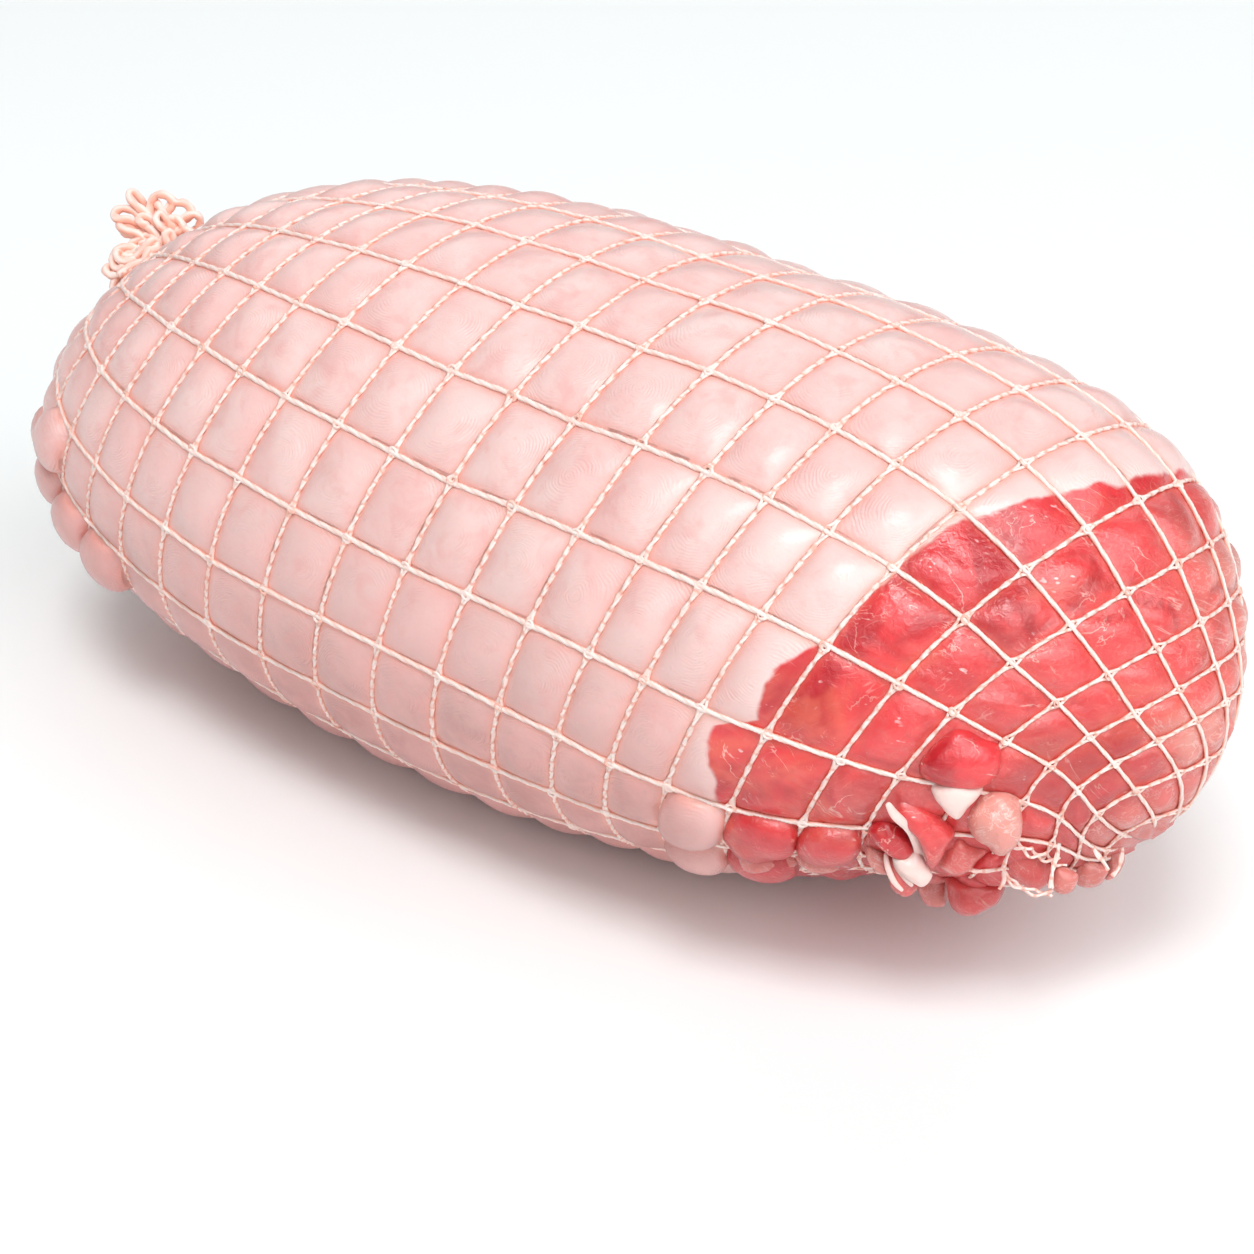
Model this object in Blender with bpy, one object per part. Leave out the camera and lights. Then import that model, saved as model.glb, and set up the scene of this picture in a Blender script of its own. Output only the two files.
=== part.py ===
"""Boned and rolled pork shoulder in an elastic net, lying on its side.

The meat is one body with a pillow in every opening of the net. The net lies
in the grooves between the pillows and ends in a gathered tuft at the left.
All sizes are in metres, +Z is up and the floor is at z = 0.
"""
import bpy
import bmesh
import math
from mathutils import Matrix, Vector

MM = 0.001

# Roll: a barrel whose closures sit high at the left and low at the right.
HALF_WIDTH = 61.0 * MM
HALF_HEIGHT = 60.0 * MM
CENTRE_HEIGHT = 46.9 * MM
LEFT_RISE = 25.5 * MM
RIGHT_DROP = 18.7 * MM
LEFT_SWAY = -3.3 * MM
RIGHT_SWAY = -6.0 * MM
MIDDLE_X = 22.1 * MM
LEFT_TAPER = (3.606, 0.80)
RIGHT_TAPER = (2.471, 1.25)
BEND_LEFT = 1.54
BEND_RIGHT = 1.61
UNDERSIDE_FLAT = 0.32

# Net: rings round the roll and strands along it.
RING_FIRST = -3
RING_LAST = 21
RING_LEFT_POLE = -3.236
RING_RIGHT_POLE = 21.938
RING_PITCH = 14.131 * MM
PITCH_FADE_LEFT = 3.515
PITCH_FADE_RIGHT = 1.225
RING_SLIP = {2: 0.02, 4: -0.03, 5: -0.04, 12: -0.08, 13: -0.12, 14: -0.08,
             15: 0.15, 16: 0.15, 17: 0.18, 18: 0.14, 19: -0.11, 20: -0.14, 21: -0.06}
STRANDS = 22
FIRST_STRAND_ANGLE = math.radians(50.3)
STRAND_CROWDING = math.radians(3.0)
LEAN = math.radians(-14.0)
LEAN_LEFT = math.radians(-28.6)
LEAN_RIGHT = math.radians(-29.6)
SWING = math.radians(4.0)
SWING_LEFT = math.radians(-2.3)
SWING_RIGHT = math.radians(12.6)

# Strand section, groove and pillow, measured from the net surface.
STRAND_HALF = 0.70 * MM
STRAND_TOP = 0.55 * MM
STRAND_FOOT = 0.75 * MM
GROOVE = 1.65 * MM
PILLOW = 1.25 * MM
PILLOW_INSET = 0.32
PILLOW_SLOPE = 0.62
SMALL_CELL = 11.5 * MM
FLOOR_GAP = 1.0 * MM
FLOOR_SOFTNESS = 2.5 * MM
SETTLE = 0.7 * MM

# Bulges that swell out of one opening of the net: ring, strand, proud.
CELL_BULGES = [(-1, 9, 3.0), (0, 8, 4.2), (0, 9, 4.6), (1, 9, 5.0), (2, 9, 4.6), (13, 8, 3.2), (13, 9, 2.6), (14, 8, 3.0),
               (15, 8, 3.4), (14, 9, 2.6)]
BULGE_MARGIN = 1.2 * MM

# Lobes larger than an opening, where the net is cut: ring, strand, radius, proud, detail.
LOBES = [(16.7, 6.4, 8.0, 2.6, 2), (17.3, 7.0, 4.6, 4.6, 2), (18.1, 7.15, 5.6, 7.0, 2), (16.9, 7.9, 6.0, 3.4, 2),
         (17.5, 8.6, 4.6, 5.4, 2), (18.1, 8.1, 6.4, 3.2, 2), (17.9, 9.2, 6.6, 3.6, 2), (17.2, 9.8, 4.6, 4.0, 2)]

# Tuft: loops of net cord gathered at the left closure.
TUFT_LOOPS = 6
TUFT_CORD = 0.95 * MM
TUFT_NECK = 2.7 * MM
TUFT_NECK_LENGTH = 5.5 * MM
TUFT_REACH = 14.0 * MM
TUFT_WIDTH = 0.30
TUFT_SPREAD = 1.0
TUFT_TURN = Vector((0.26, 0.40, 0.20))


def material(name, colour, roughness):
    mat = bpy.data.materials.new(name)
    mat.use_nodes = True
    shader = mat.node_tree.nodes["Principled BSDF"]
    shader.inputs["Base Color"].default_value = (*colour, 1.0)
    shader.inputs["Roughness"].default_value = roughness
    return mat


def side(x, left, right):
    return left if x < 0.0 else right


def station(ring):
    """Centre, half sizes and lean of the roll at a ring number."""
    middle = 0.5 * (RING_LEFT_POLE + RING_RIGHT_POLE)
    half = 0.5 * (RING_RIGHT_POLE - RING_LEFT_POLE)
    x = max(-0.9999, min(0.9999, (ring - middle) / half))
    a = abs(x)
    fade = side(x, PITCH_FADE_LEFT, PITCH_FADE_RIGHT)
    power, blunt = side(x, LEFT_TAPER, RIGHT_TAPER)
    bend = a ** side(x, BEND_LEFT, BEND_RIGHT)
    along = RING_PITCH * half * (x - math.copysign(a ** (fade + 1.0) / (fade + 1.0), x))
    size = (1.0 - a ** power) ** blunt
    centre = Vector((MIDDLE_X + along, side(x, LEFT_SWAY, RIGHT_SWAY) * bend,
                     CENTRE_HEIGHT + side(x, LEFT_RISE, -RIGHT_DROP) * bend))
    lean = LEAN + side(x, LEAN_LEFT, LEAN_RIGHT) * bend
    swing = SWING + side(x, SWING_LEFT, SWING_RIGHT) * bend
    flat = UNDERSIDE_FLAT * 0.5 * (1.0 + math.tanh(1.6 * x))
    return centre, size, lean, swing, flat


def strand_angle(strand):
    turn = 2.0 * math.pi * strand / STRANDS
    crowd = STRAND_CROWDING * math.cos(2.0 * (turn - 2.0 * math.pi * 0.7 / STRANDS))
    return FIRST_STRAND_ANGLE + turn + crowd


def slip(ring):
    low = math.floor(ring)
    part = ring - low
    return RING_SLIP.get(low, 0.0) * (1.0 - part) + RING_SLIP.get(low + 1, 0.0) * part


def net_point(ring, strand):
    """Point of the smooth surface in which the net lies."""
    centre, size, lean, swing, flat = station(ring + slip(ring))
    angle = strand_angle(strand)
    across = HALF_WIDTH * size * math.cos(angle)
    up = math.sin(angle)
    under = 0.25 * (1.0 - up) * (1.0 - math.tanh(3.0 * up))
    height = HALF_HEIGHT * size * up * (1.0 - flat * under)
    x = centre.x - height * math.sin(lean) + across * math.sin(swing)
    y = centre.y + across * math.cos(swing)
    z = centre.z + height * math.cos(lean)
    z = FLOOR_SOFTNESS * math.log1p(math.exp(z / FLOOR_SOFTNESS))
    return Vector((x, y, max(z, FLOOR_GAP)))


def frame_at(ring, strand):
    """Point, direction along the roll, direction round it and outward normal."""
    step = 0.05
    low = max(ring - step, RING_LEFT_POLE + 0.01)
    high = min(ring + step, RING_RIGHT_POLE - 0.01)
    point = net_point(ring, strand)
    along = (net_point(high, strand) - net_point(low, strand)).normalized()
    around = (net_point(ring, strand + step) - net_point(ring, strand - step)).normalized()
    normal = along.cross(around).normalized()
    if normal.dot(point - station(ring)[0]) < 0.0:
        normal = -normal
    return point, along, around, normal


def lifted(ring, strand, height):
    point, along, around, normal = frame_at(ring, strand)
    out = point + normal * height
    if out.z < SETTLE:
        out.z = 0.0
    if height < 0.0:
        out.z = max(out.z, FLOOR_GAP - height)
    return out


def clear_old():
    for obj in list(bpy.data.objects):
        bpy.data.objects.remove(obj, do_unlink=True)


def add_object(name, bm, mat):
    mesh = bpy.data.meshes.new(name)
    bmesh.ops.recalc_face_normals(bm, faces=bm.faces)
    bm.to_mesh(mesh)
    bm.free()
    mesh.materials.append(mat)
    obj = bpy.data.objects.new(name, mesh)
    bpy.context.scene.collection.objects.link(obj)
    return obj


def on_floor(ring, strand):
    return net_point(ring, strand).z < FLOOR_GAP + 1.2 * MM


def cell_size(ring, strand):
    """Length along the roll and width round it of the opening at a crossing."""
    length = (net_point(ring + 1, strand + 0.5) - net_point(ring, strand + 0.5)).length
    width = (net_point(ring + 0.5, strand + 1) - net_point(ring + 0.5, strand)).length
    return length, width


def pillow_height(ring, strand, inset):
    """Pillows flatten where the openings are small, so that the net stays clear."""
    return min(PILLOW, PILLOW_SLOPE * inset * min(cell_size(ring, strand)) - GROOVE)


def meat_cell(bm, grid, ring, strand):
    """One pillow between four crossings of the net."""
    nxt = (strand + 1) % STRANDS
    outer = [grid[ring, strand], grid[ring + 1, strand], grid[ring + 1, nxt], grid[ring, nxt]]
    a = PILLOW_INSET
    spots = [(a, a), (1.0 - a, a), (1.0 - a, 1.0 - a), (a, 1.0 - a)]
    high = pillow_height(ring, strand, a)
    inset = [lifted(ring + u, strand + v, high) for u, v in spots]
    rests = all(spot.z == 0.0 for spot in inset)
    low = on_floor(ring + 0.5, strand + 0.5) or min(cell_size(ring, strand)) < SMALL_CELL
    if low and not rests:
        top = bm.verts.new(lifted(ring + 0.5, strand + 0.5, pillow_height(ring, strand, 0.5)))
        for k in range(4):
            bm.faces.new((outer[k], outer[(k + 1) % 4], top))
        return
    inner = [bm.verts.new(spot) for spot in inset]
    for k in range(4):
        bm.faces.new((outer[k], outer[(k + 1) % 4], inner[(k + 1) % 4], inner[k]))
    bm.faces.new(inner)


def meat_cap(bm, grid, ring, pole):
    tip = bm.verts.new(lifted(pole, 0.0, -GROOVE) if pole > 0 else station(pole)[0])
    for strand in range(STRANDS):
        bm.faces.new((grid[ring, strand], grid[ring, (strand + 1) % STRANDS], tip))


def build_meat(mat):
    bm = bmesh.new()
    grid = {}
    for ring in range(RING_FIRST, RING_LAST + 1):
        for strand in range(STRANDS):
            grid[ring, strand] = bm.verts.new(lifted(ring, strand, -GROOVE))
    for ring in range(RING_FIRST, RING_LAST):
        for strand in range(STRANDS):
            meat_cell(bm, grid, ring, strand)
    meat_cap(bm, grid, RING_FIRST, RING_LEFT_POLE + 0.02)
    meat_cap(bm, grid, RING_LAST, RING_RIGHT_POLE - 0.02)
    bmesh.ops.triangulate(bm, faces=bm.faces)
    return add_object("shoulder", bm, mat)


def lobe_centre(lobe):
    ring, strand, radius, proud, detail = lobe
    point, along, around, normal = frame_at(ring, strand)
    centre = point + normal * (proud - radius) * MM
    centre.z = max(centre.z, radius * MM)
    return centre


def lobe_ball(lobe):
    bm = bmesh.new()
    bmesh.ops.create_icosphere(bm, subdivisions=lobe[4], radius=lobe[2] * MM)
    bmesh.ops.translate(bm, verts=bm.verts, vec=lobe_centre(lobe))
    return bm


def cell_ball(ring, strand, proud):
    """Rounded swelling that just fits its opening in the net."""
    length, width = cell_size(ring, strand)
    point, along, around, normal = frame_at(ring + 0.5, strand + 0.5)
    half = (0.5 * length - BULGE_MARGIN, 0.5 * width - BULGE_MARGIN, 2.0 * proud * MM)
    bm = bmesh.new()
    bmesh.ops.create_icosphere(bm, subdivisions=2, radius=1.0)
    for vert in bm.verts:
        u, v, w = vert.co
        vert.co = point + along * (u * half[0]) + around * (v * half[1]) + normal * (w * half[2] - proud * MM)
        vert.co.z = max(vert.co.z, 0.0)
    return bm


def add_bulges(meat, mat):
    """Round lobes of fat and lean fused to the meat."""
    tools = bpy.data.collections.new("bulges")
    bpy.context.scene.collection.children.link(tools)
    balls = [lobe_ball(lobe) for lobe in LOBES] + [cell_ball(*bulge) for bulge in CELL_BULGES]
    for ball in balls:
        obj = add_object("bulge", ball, mat)
        bpy.context.scene.collection.objects.unlink(obj)
        tools.objects.link(obj)
    union = meat.modifiers.new("lobes", "BOOLEAN")
    union.operation = "UNION"
    union.operand_type = "COLLECTION"
    union.solver = "EXACT"
    union.collection = tools
    bpy.context.view_layer.update()
    solid = bpy.data.meshes.new_from_object(meat.evaluated_get(bpy.context.evaluated_depsgraph_get()))
    meat.modifiers.clear()
    old = meat.data
    meat.data = solid
    bpy.data.meshes.remove(old)
    for obj in list(tools.objects):
        bpy.data.objects.remove(obj, do_unlink=True)
    bpy.data.collections.remove(tools)


def near_lobe(a, b):
    """True where the strand from a to b would touch a lobe."""
    line = b - a
    for lobe in LOBES:
        centre = lobe_centre(lobe)
        t = max(0.0, min(1.0, (centre - a).dot(line) / line.length_squared))
        if (a + line * t - centre).length < lobe[2] * MM + 1.3 * MM:
            return True
    return False


def crossing(bm, ring, strand):
    """Foot corners and ridge of the knot at one crossing."""
    point, along, around, normal = frame_at(ring, strand)
    foot = point - normal * STRAND_FOOT
    corner = {}
    for u in (-1, 1):
        for v in (-1, 1):
            spot = foot + along * (u * STRAND_HALF) + around * (v * STRAND_HALF)
            corner[u, v] = bm.verts.new(spot)
    ridge = bm.verts.new(point + normal * STRAND_TOP)
    return corner, ridge


def span(bm, a, b, left_a, right_a, left_b, right_b):
    """Three sides of one strand between two crossings."""
    bm.faces.new((a[0][left_a], a[0][right_a], b[0][right_b], b[0][left_b]))
    bm.faces.new((a[0][right_a], a[1], b[1], b[0][right_b]))
    bm.faces.new((a[1], a[0][left_a], b[0][left_b], b[1]))


def close_end(bm, knot, first, second):
    bm.faces.new((knot[0][first], knot[0][second], knot[1]))


def build_net(mat):
    bm = bmesh.new()
    along_span = set()
    round_span = set()
    for ring in range(RING_FIRST, RING_LAST + 1):
        for strand in range(STRANDS):
            here = net_point(ring, strand)
            if ring < RING_LAST and not near_lobe(here, net_point(ring + 1, strand)):
                along_span.add((ring, strand))
            if not near_lobe(here, net_point(ring, strand + 1)):
                round_span.add((ring, strand))
    knots = {}
    for ring in range(RING_FIRST, RING_LAST + 1):
        for strand in range(STRANDS):
            back = (strand - 1) % STRANDS
            used = [(ring, strand) in along_span, (ring - 1, strand) in along_span,
                    (ring, strand) in round_span, (ring, back) in round_span]
            if not any(used):
                continue
            knot = crossing(bm, ring, strand)
            knots[ring, strand] = knot
            corner = knot[0]
            bm.faces.new((corner[-1, -1], corner[-1, 1], corner[1, 1], corner[1, -1]))
            ends = [((1, -1), (1, 1)), ((-1, -1), (-1, 1)), ((-1, 1), (1, 1)), ((-1, -1), (1, -1))]
            for has, pair in zip(used, ends):
                if not has:
                    close_end(bm, knot, *pair)
    for ring, strand in along_span:
        span(bm, knots[ring, strand], knots[ring + 1, strand], (1, -1), (1, 1), (-1, -1), (-1, 1))
    for ring, strand in round_span:
        span(bm, knots[ring, strand], knots[ring, (strand + 1) % STRANDS], (-1, 1), (1, 1), (-1, -1), (1, -1))
    bmesh.ops.triangulate(bm, faces=bm.faces)
    return add_object("net", bm, mat)


def tube(bm, path, radius, sides):
    """Round cord along a path, closed at both ends."""
    rows = []
    for k, spot in enumerate(path):
        ahead = path[min(k + 1, len(path) - 1)] - path[max(k - 1, 0)]
        ahead.normalize()
        right = ahead.orthogonal().normalized() if not rows else (right - ahead * right.dot(ahead)).normalized()
        up = ahead.cross(right)
        turn = [2.0 * math.pi * s / sides for s in range(sides)]
        rows.append([bm.verts.new(spot + (right * math.cos(t) + up * math.sin(t)) * radius) for t in turn])
    for low, high in zip(rows, rows[1:]):
        for s in range(sides):
            t = (s + 1) % sides
            bm.faces.new((low[s], low[t], high[t], high[s]))
    bm.faces.new(rows[0])
    bm.faces.new(rows[-1])


def tuft_axis():
    """Foot and outward direction of the tuft at the left closure."""
    low = station(RING_LEFT_POLE)[0]
    ring = [net_point(RING_FIRST, strand) for strand in range(STRANDS)]
    rim = sum(ring, Vector()) / STRANDS
    inner = [net_point(RING_FIRST + 1, strand) for strand in range(STRANDS)]
    mid = sum(inner, Vector()) / STRANDS
    return low, (rim - mid).normalized()


def loop_path(top, out, right, up, k):
    """One loop of cord that leaves the neck and comes back to it."""
    turn = 2.4 * k
    spread = TUFT_SPREAD * math.sqrt((k + 0.4) / TUFT_LOOPS)
    ahead = (out + (right * math.cos(turn) + up * math.sin(turn)) * spread).normalized()
    wide = ahead.cross(out + right * 0.3).normalized()
    reach = TUFT_REACH * (0.80 + 0.20 * math.cos(1.7 * k))
    path = []
    for s in range(7):
        t = 2.0 * math.pi * s / 6.0
        foot = wide * ((s / 3.0 - 1.0) * 1.1 * MM)
        path.append(top + foot + ahead * (0.5 * reach * (1.0 - math.cos(t))) - wide * (TUFT_WIDTH * reach * math.sin(t)))
    return path


def build_tuft(mat):
    foot, out = tuft_axis()
    axis = (out + TUFT_TURN).normalized()
    right = axis.orthogonal().normalized()
    up = axis.cross(right)
    parts = bpy.data.collections.new("loops")
    bpy.context.scene.collection.children.link(parts)
    bm = bmesh.new()
    low = foot + out * (0.6 * MM)
    top = low + (out + axis).normalized() * TUFT_NECK_LENGTH
    tube(bm, [low, low.lerp(top, 0.5), top], TUFT_NECK, 6)
    tuft = add_object("net_tail", bm, mat)
    base = low.lerp(top, 0.72)
    for k in range(TUFT_LOOPS):
        bm = bmesh.new()
        tube(bm, loop_path(base, axis, right, up, k), TUFT_CORD, 4)
        loop = add_object("loop", bm, mat)
        bpy.context.scene.collection.objects.unlink(loop)
        parts.objects.link(loop)
    union = tuft.modifiers.new("loops", "BOOLEAN")
    union.operation = "UNION"
    union.operand_type = "COLLECTION"
    union.solver = "EXACT"
    union.collection = parts
    bpy.context.view_layer.update()
    solid = bpy.data.meshes.new_from_object(tuft.evaluated_get(bpy.context.evaluated_depsgraph_get()))
    tuft.modifiers.clear()
    old = tuft.data
    tuft.data = solid
    bpy.data.meshes.remove(old)
    for obj in list(parts.objects):
        bpy.data.objects.remove(obj, do_unlink=True)
    bpy.data.collections.remove(parts)
    return tuft


def set_on_floor():
    """Centre the whole on the origin, with its lowest point at z = 0."""
    spots = [vert.co.copy() for obj in bpy.data.objects for vert in obj.data.vertices]
    low = Vector([min(spot[k] for spot in spots) for k in range(3)])
    high = Vector([max(spot[k] for spot in spots) for k in range(3)])
    move = Vector((-0.5 * (low.x + high.x), -0.5 * (low.y + high.y), -low.z))
    for obj in bpy.data.objects:
        obj.data.transform(Matrix.Translation(move))
        obj.data.update()


clear_old()
rind = material("rind_and_lean", (0.86, 0.62, 0.58), 0.35)
cord = material("net_cord", (0.93, 0.82, 0.76), 0.6)
cord_tail = material("tail_cord", (0.93, 0.78, 0.70), 0.6)
meat = build_meat(rind)
add_bulges(meat, rind)
build_net(cord)
build_tuft(cord_tail)
set_on_floor()
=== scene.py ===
"""Boned and rolled pork shoulder in a tight elastic net, lying on its side.

The roll of meat, the lobes of lean and fat that squeeze out of its cut end,
the net round it and the gathered tail of the net each have a section.
Sizes are in metres, +Z is up and the table is at z = 0.
"""
import bmesh
import bpy
import math
import numpy as np
from mathutils import Matrix, Vector, noise


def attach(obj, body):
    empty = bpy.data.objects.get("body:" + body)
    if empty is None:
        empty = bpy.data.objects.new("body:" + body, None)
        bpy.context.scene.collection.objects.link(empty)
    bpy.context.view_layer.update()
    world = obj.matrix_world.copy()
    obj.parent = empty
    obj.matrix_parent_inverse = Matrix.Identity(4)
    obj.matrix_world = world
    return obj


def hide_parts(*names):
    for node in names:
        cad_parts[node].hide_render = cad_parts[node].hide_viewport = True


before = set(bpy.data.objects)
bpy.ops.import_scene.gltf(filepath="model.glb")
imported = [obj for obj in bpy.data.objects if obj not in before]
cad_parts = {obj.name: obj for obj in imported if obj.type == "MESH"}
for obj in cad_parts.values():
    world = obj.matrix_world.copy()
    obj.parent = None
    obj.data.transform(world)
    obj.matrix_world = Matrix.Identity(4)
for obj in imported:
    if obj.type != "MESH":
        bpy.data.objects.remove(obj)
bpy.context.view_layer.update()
MM = 0.001

# Table and studio
# A plain white table under a soft box high at the front, a wide low one at
# the right, soft panels behind the roll and before it, and a pale surround.
VIEW_TARGET = Vector((0.0215, -0.0196, 0.0500))
VIEW_AZIMUTH = math.radians(38.655)
VIEW_ELEVATION = math.radians(27.947)
VIEW_DISTANCE = 0.4637
TABLE_CORNERS = [(-6, -6, 0), (6, -6, 0), (6, 6, 0), (-6, 6, 0)]
LIGHT_TARGET = Vector((0.02, -0.01, 0.05))
LIGHT_DISTANCE = 4
# Name, azimuth and elevation in degrees, width and height, watts.
LIGHTS = [("soft_box", 28, 66, (1.4, 1.4), 79), ("wide_box", 74, 43, (5, 3), 120),
          ("back_panel", 215, 40, (6, 2.4), 50), ("front_fill", 8, 33, (3.6, 1.6), 18)]
SURROUND_STRENGTH = 0.12


def direction(azimuth, elevation):
    flat = math.cos(elevation)
    return Vector((math.sin(azimuth) * flat, -math.cos(azimuth) * flat, math.sin(elevation)))


def add(name, data):
    """Puts one object in the scene."""
    obj = bpy.data.objects.new(name, data)
    bpy.context.scene.collection.objects.link(obj)
    return obj


class Nodes:
    """Builds a tree of nodes: a socket given as an input is joined to it, anything else is its value."""

    def __init__(self, tree):
        self.tree = tree

    def put(self, socket, value):
        if isinstance(value, bpy.types.NodeSocket):
            self.tree.links.new(value, socket)
        elif socket.type == "RGBA":
            socket.default_value = (*value, 1)
        else:
            socket.default_value = value

    def node(self, kind, inputs=None, **settings):
        made = self.tree.nodes.new(kind)
        for key, value in settings.items():
            setattr(made, key, value)
        for key, value in (inputs or {}).items():
            self.put(made.inputs[key], value)
        return made

    def first(self, kind, inputs=None, **settings):
        """The first output of a new node."""
        return self.node(kind, inputs, **settings).outputs[0]

    def sums(self, what, a, b=0):
        return self.first("ShaderNodeMath", {0: a, 1: b}, operation=what)

    def times(self, a, b):
        return self.sums("MULTIPLY", a, b)

    def plus(self, a, b):
        return self.sums("ADD", a, b)

    def minus(self, a, b):
        return self.sums("SUBTRACT", a, b)


class Finish(Nodes):
    """Short hand for building one material."""

    def __init__(self, name):
        self.mat = bpy.data.materials.new(name)
        self.mat.use_nodes = True
        super().__init__(self.mat.node_tree)

    def surface(self, **values):
        for key, value in values.items():
            self.put(self.tree.nodes["Principled BSDF"].inputs[key.replace("_", " ")], value)

    def place(self, turn=(0, 0, 0), scale=(1, 1, 1)):
        spot = self.node("ShaderNodeTexCoord").outputs["Object"]
        turned = self.first("ShaderNodeMapping", {"Vector": spot, "Rotation": turn})
        return self.first("ShaderNodeMapping", {"Vector": turned, "Scale": scale})

    def grain(self, where, scale, detail=2, rough=0.5, bend=0):
        return self.first("ShaderNodeTexNoise", {"Vector": where, "Scale": scale, "Detail": detail,
                                                 "Roughness": rough, "Distortion": bend})

    def ramp(self, value, low, high, to_low=0, to_high=1):
        return self.first("ShaderNodeMapRange", {"Value": value, "From Min": low, "From Max": high,
                                                 "To Min": to_low, "To Max": to_high},
                          interpolation_type="SMOOTHSTEP")

    def thin_line(self, value, width, amount=1):
        """A line where a grain passes its middle."""
        return self.ramp(self.sums("ABSOLUTE", self.minus(value, 0.5)), 0, width, amount, 0)

    def mix(self, amount, a, b):
        return self.node("ShaderNodeMix", {0: amount, 6: a, 7: b}, data_type="RGBA").outputs[2]

    def layers(self, colour, *over):
        """A colour with others laid over it, each by its own amount."""
        for amount, other in over:
            colour = self.mix(amount, colour, other)
        return colour

    def field(self, name, output="Fac"):
        return self.node("ShaderNodeAttribute", attribute_name=name).outputs[output]

    def relief(self, height, distance):
        return self.first("ShaderNodeBump", {"Height": height, "Distance": distance, "Strength": 1})


white = Finish("table_white")
white.surface(Base_Color=(0.93, 0.965, 0.965), Roughness=0.9, Specular_IOR_Level=0.1)
table_mesh = bpy.data.meshes.new("table_top")
table_mesh.from_pydata(TABLE_CORNERS, [], [(0, 1, 2, 3)])
table_mesh.materials.append(white.mat)
table = add("table_top", table_mesh)

for name, azimuth, elevation, size, watts in LIGHTS:
    lamp = bpy.data.lights.new(name, "AREA")
    lamp.shape = "RECTANGLE"
    lamp.size, lamp.size_y = size
    lamp.energy = watts
    back = direction(math.radians(azimuth), math.radians(elevation))
    panel = add(name, lamp)
    panel.location = LIGHT_TARGET + back * LIGHT_DISTANCE
    panel.rotation_euler = back.to_track_quat("Z", "Y").to_euler()

surround = bpy.data.worlds.new("surround")
bpy.context.scene.world = surround
surround.use_nodes = True
surround_inputs = surround.node_tree.nodes["Background"].inputs
surround_inputs["Color"].default_value = (1, 1, 1, 1)
surround_inputs["Strength"].default_value = SURROUND_STRENGTH
bpy.context.scene.view_settings.view_transform = "Standard"

lens = bpy.data.cameras.new("view")
lens.sensor_width = 36
lens.lens = 73.50
lens.shift_x = 0.0020
lens.shift_y = -0.0306
lens.clip_start = 0.01
to_camera = direction(VIEW_AZIMUTH, VIEW_ELEVATION)
camera = add("view", lens)
camera.location = VIEW_TARGET + to_camera * VIEW_DISTANCE
camera.rotation_euler = to_camera.to_track_quat("Z", "Y").to_euler()
bpy.context.scene.camera = camera

# Roll of meat
# One boned shoulder, rolled with its rind outside and its cut lean at the
# right end. The net draws it in, so a soft pillow swells in every opening.
HALF_WIDTH = 61 * MM
HALF_HEIGHT = 60 * MM
CENTRE_HEIGHT = 46.9 * MM
MIDDLE_X = 22.1 * MM
UNDERSIDE_FLAT = 0.32
LEFT_POLE = -3.236
RIGHT_POLE = 21.938
RING_PITCH = 14.131 * MM
# How the roll changes toward its left and its right end.
RISE = (25.5 * MM, -18.7 * MM)
SWAY = (-3.3 * MM, -6 * MM)
TAPER_POWER = (3.606, 2.471)
TAPER_FULLNESS = (0.80, 1.25)
BEND_POWER = (1.54, 1.61)
PITCH_FADE = (3.515, 1.225)
RING_SLIP = {2: 0.02, 3: 0, 4: -0.03, 5: -0.04, 6: 0, 11: 0, 12: -0.08, 13: -0.12, 14: -0.08, 15: 0.15, 16: 0.15,
             17: 0.18, 18: 0.14, 19: -0.11, 20: -0.14, 21: -0.06, 22: 0}
FIRST_RING, LAST_RING = -3, 21
STRANDS = 22
FIRST_STRAND_ANGLE = math.radians(50.3)
STRAND_CROWDING = math.radians(3)
LEAN = math.radians(-14)
END_LEAN = (math.radians(-28.6), math.radians(-29.6))
SWING = math.radians(4)
END_SWING = (math.radians(-2.3), math.radians(12.6))
FLOOR_SOFTNESS = 2.5 * MM
FLOOR_GAP = 1 * MM
ROLL_SHIFT = np.array((0.3, 0.1, 0)) * MM
END_SAG = np.array((-0.7, 0.1, 0.9)) * MM
# Where the soft roll is fuller or slacker than a barrel: ring, strand, reach
# along and round it in openings, move in millimetres.
SOFT_SHAPE = [(19.8, 9.5, 2.4, 2.6, (1.5, -0.6, -3.8)), (16.6, 9.5, 2, 2.6, (2, 0.6, 4.9)),
              (20, 4, 2.6, 3.5, (4.5, 1.5, -0.8)), (20, 0.5, 2.6, 2.6, (2.6, 0.7, 0.4)),
              (13, 9.5, 2.6, 2.2, (-2.7, 1.3, 2.3)), (2.5, 1, 3, 2.6, (1.7, 0.4, -2.9)),
              (6.5, 0.5, 3, 2.6, (0.7, 0.6, -0.8)), (11, 0.5, 3.5, 2.6, (-2.6, -1.6, -1.1)),
              (15.5, 0.5, 2.5, 2.6, (-0.2, 0.3, 1.6)), (18, 18.5, 5, 5, (-5.7, -2.2, 6.2))]
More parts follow.
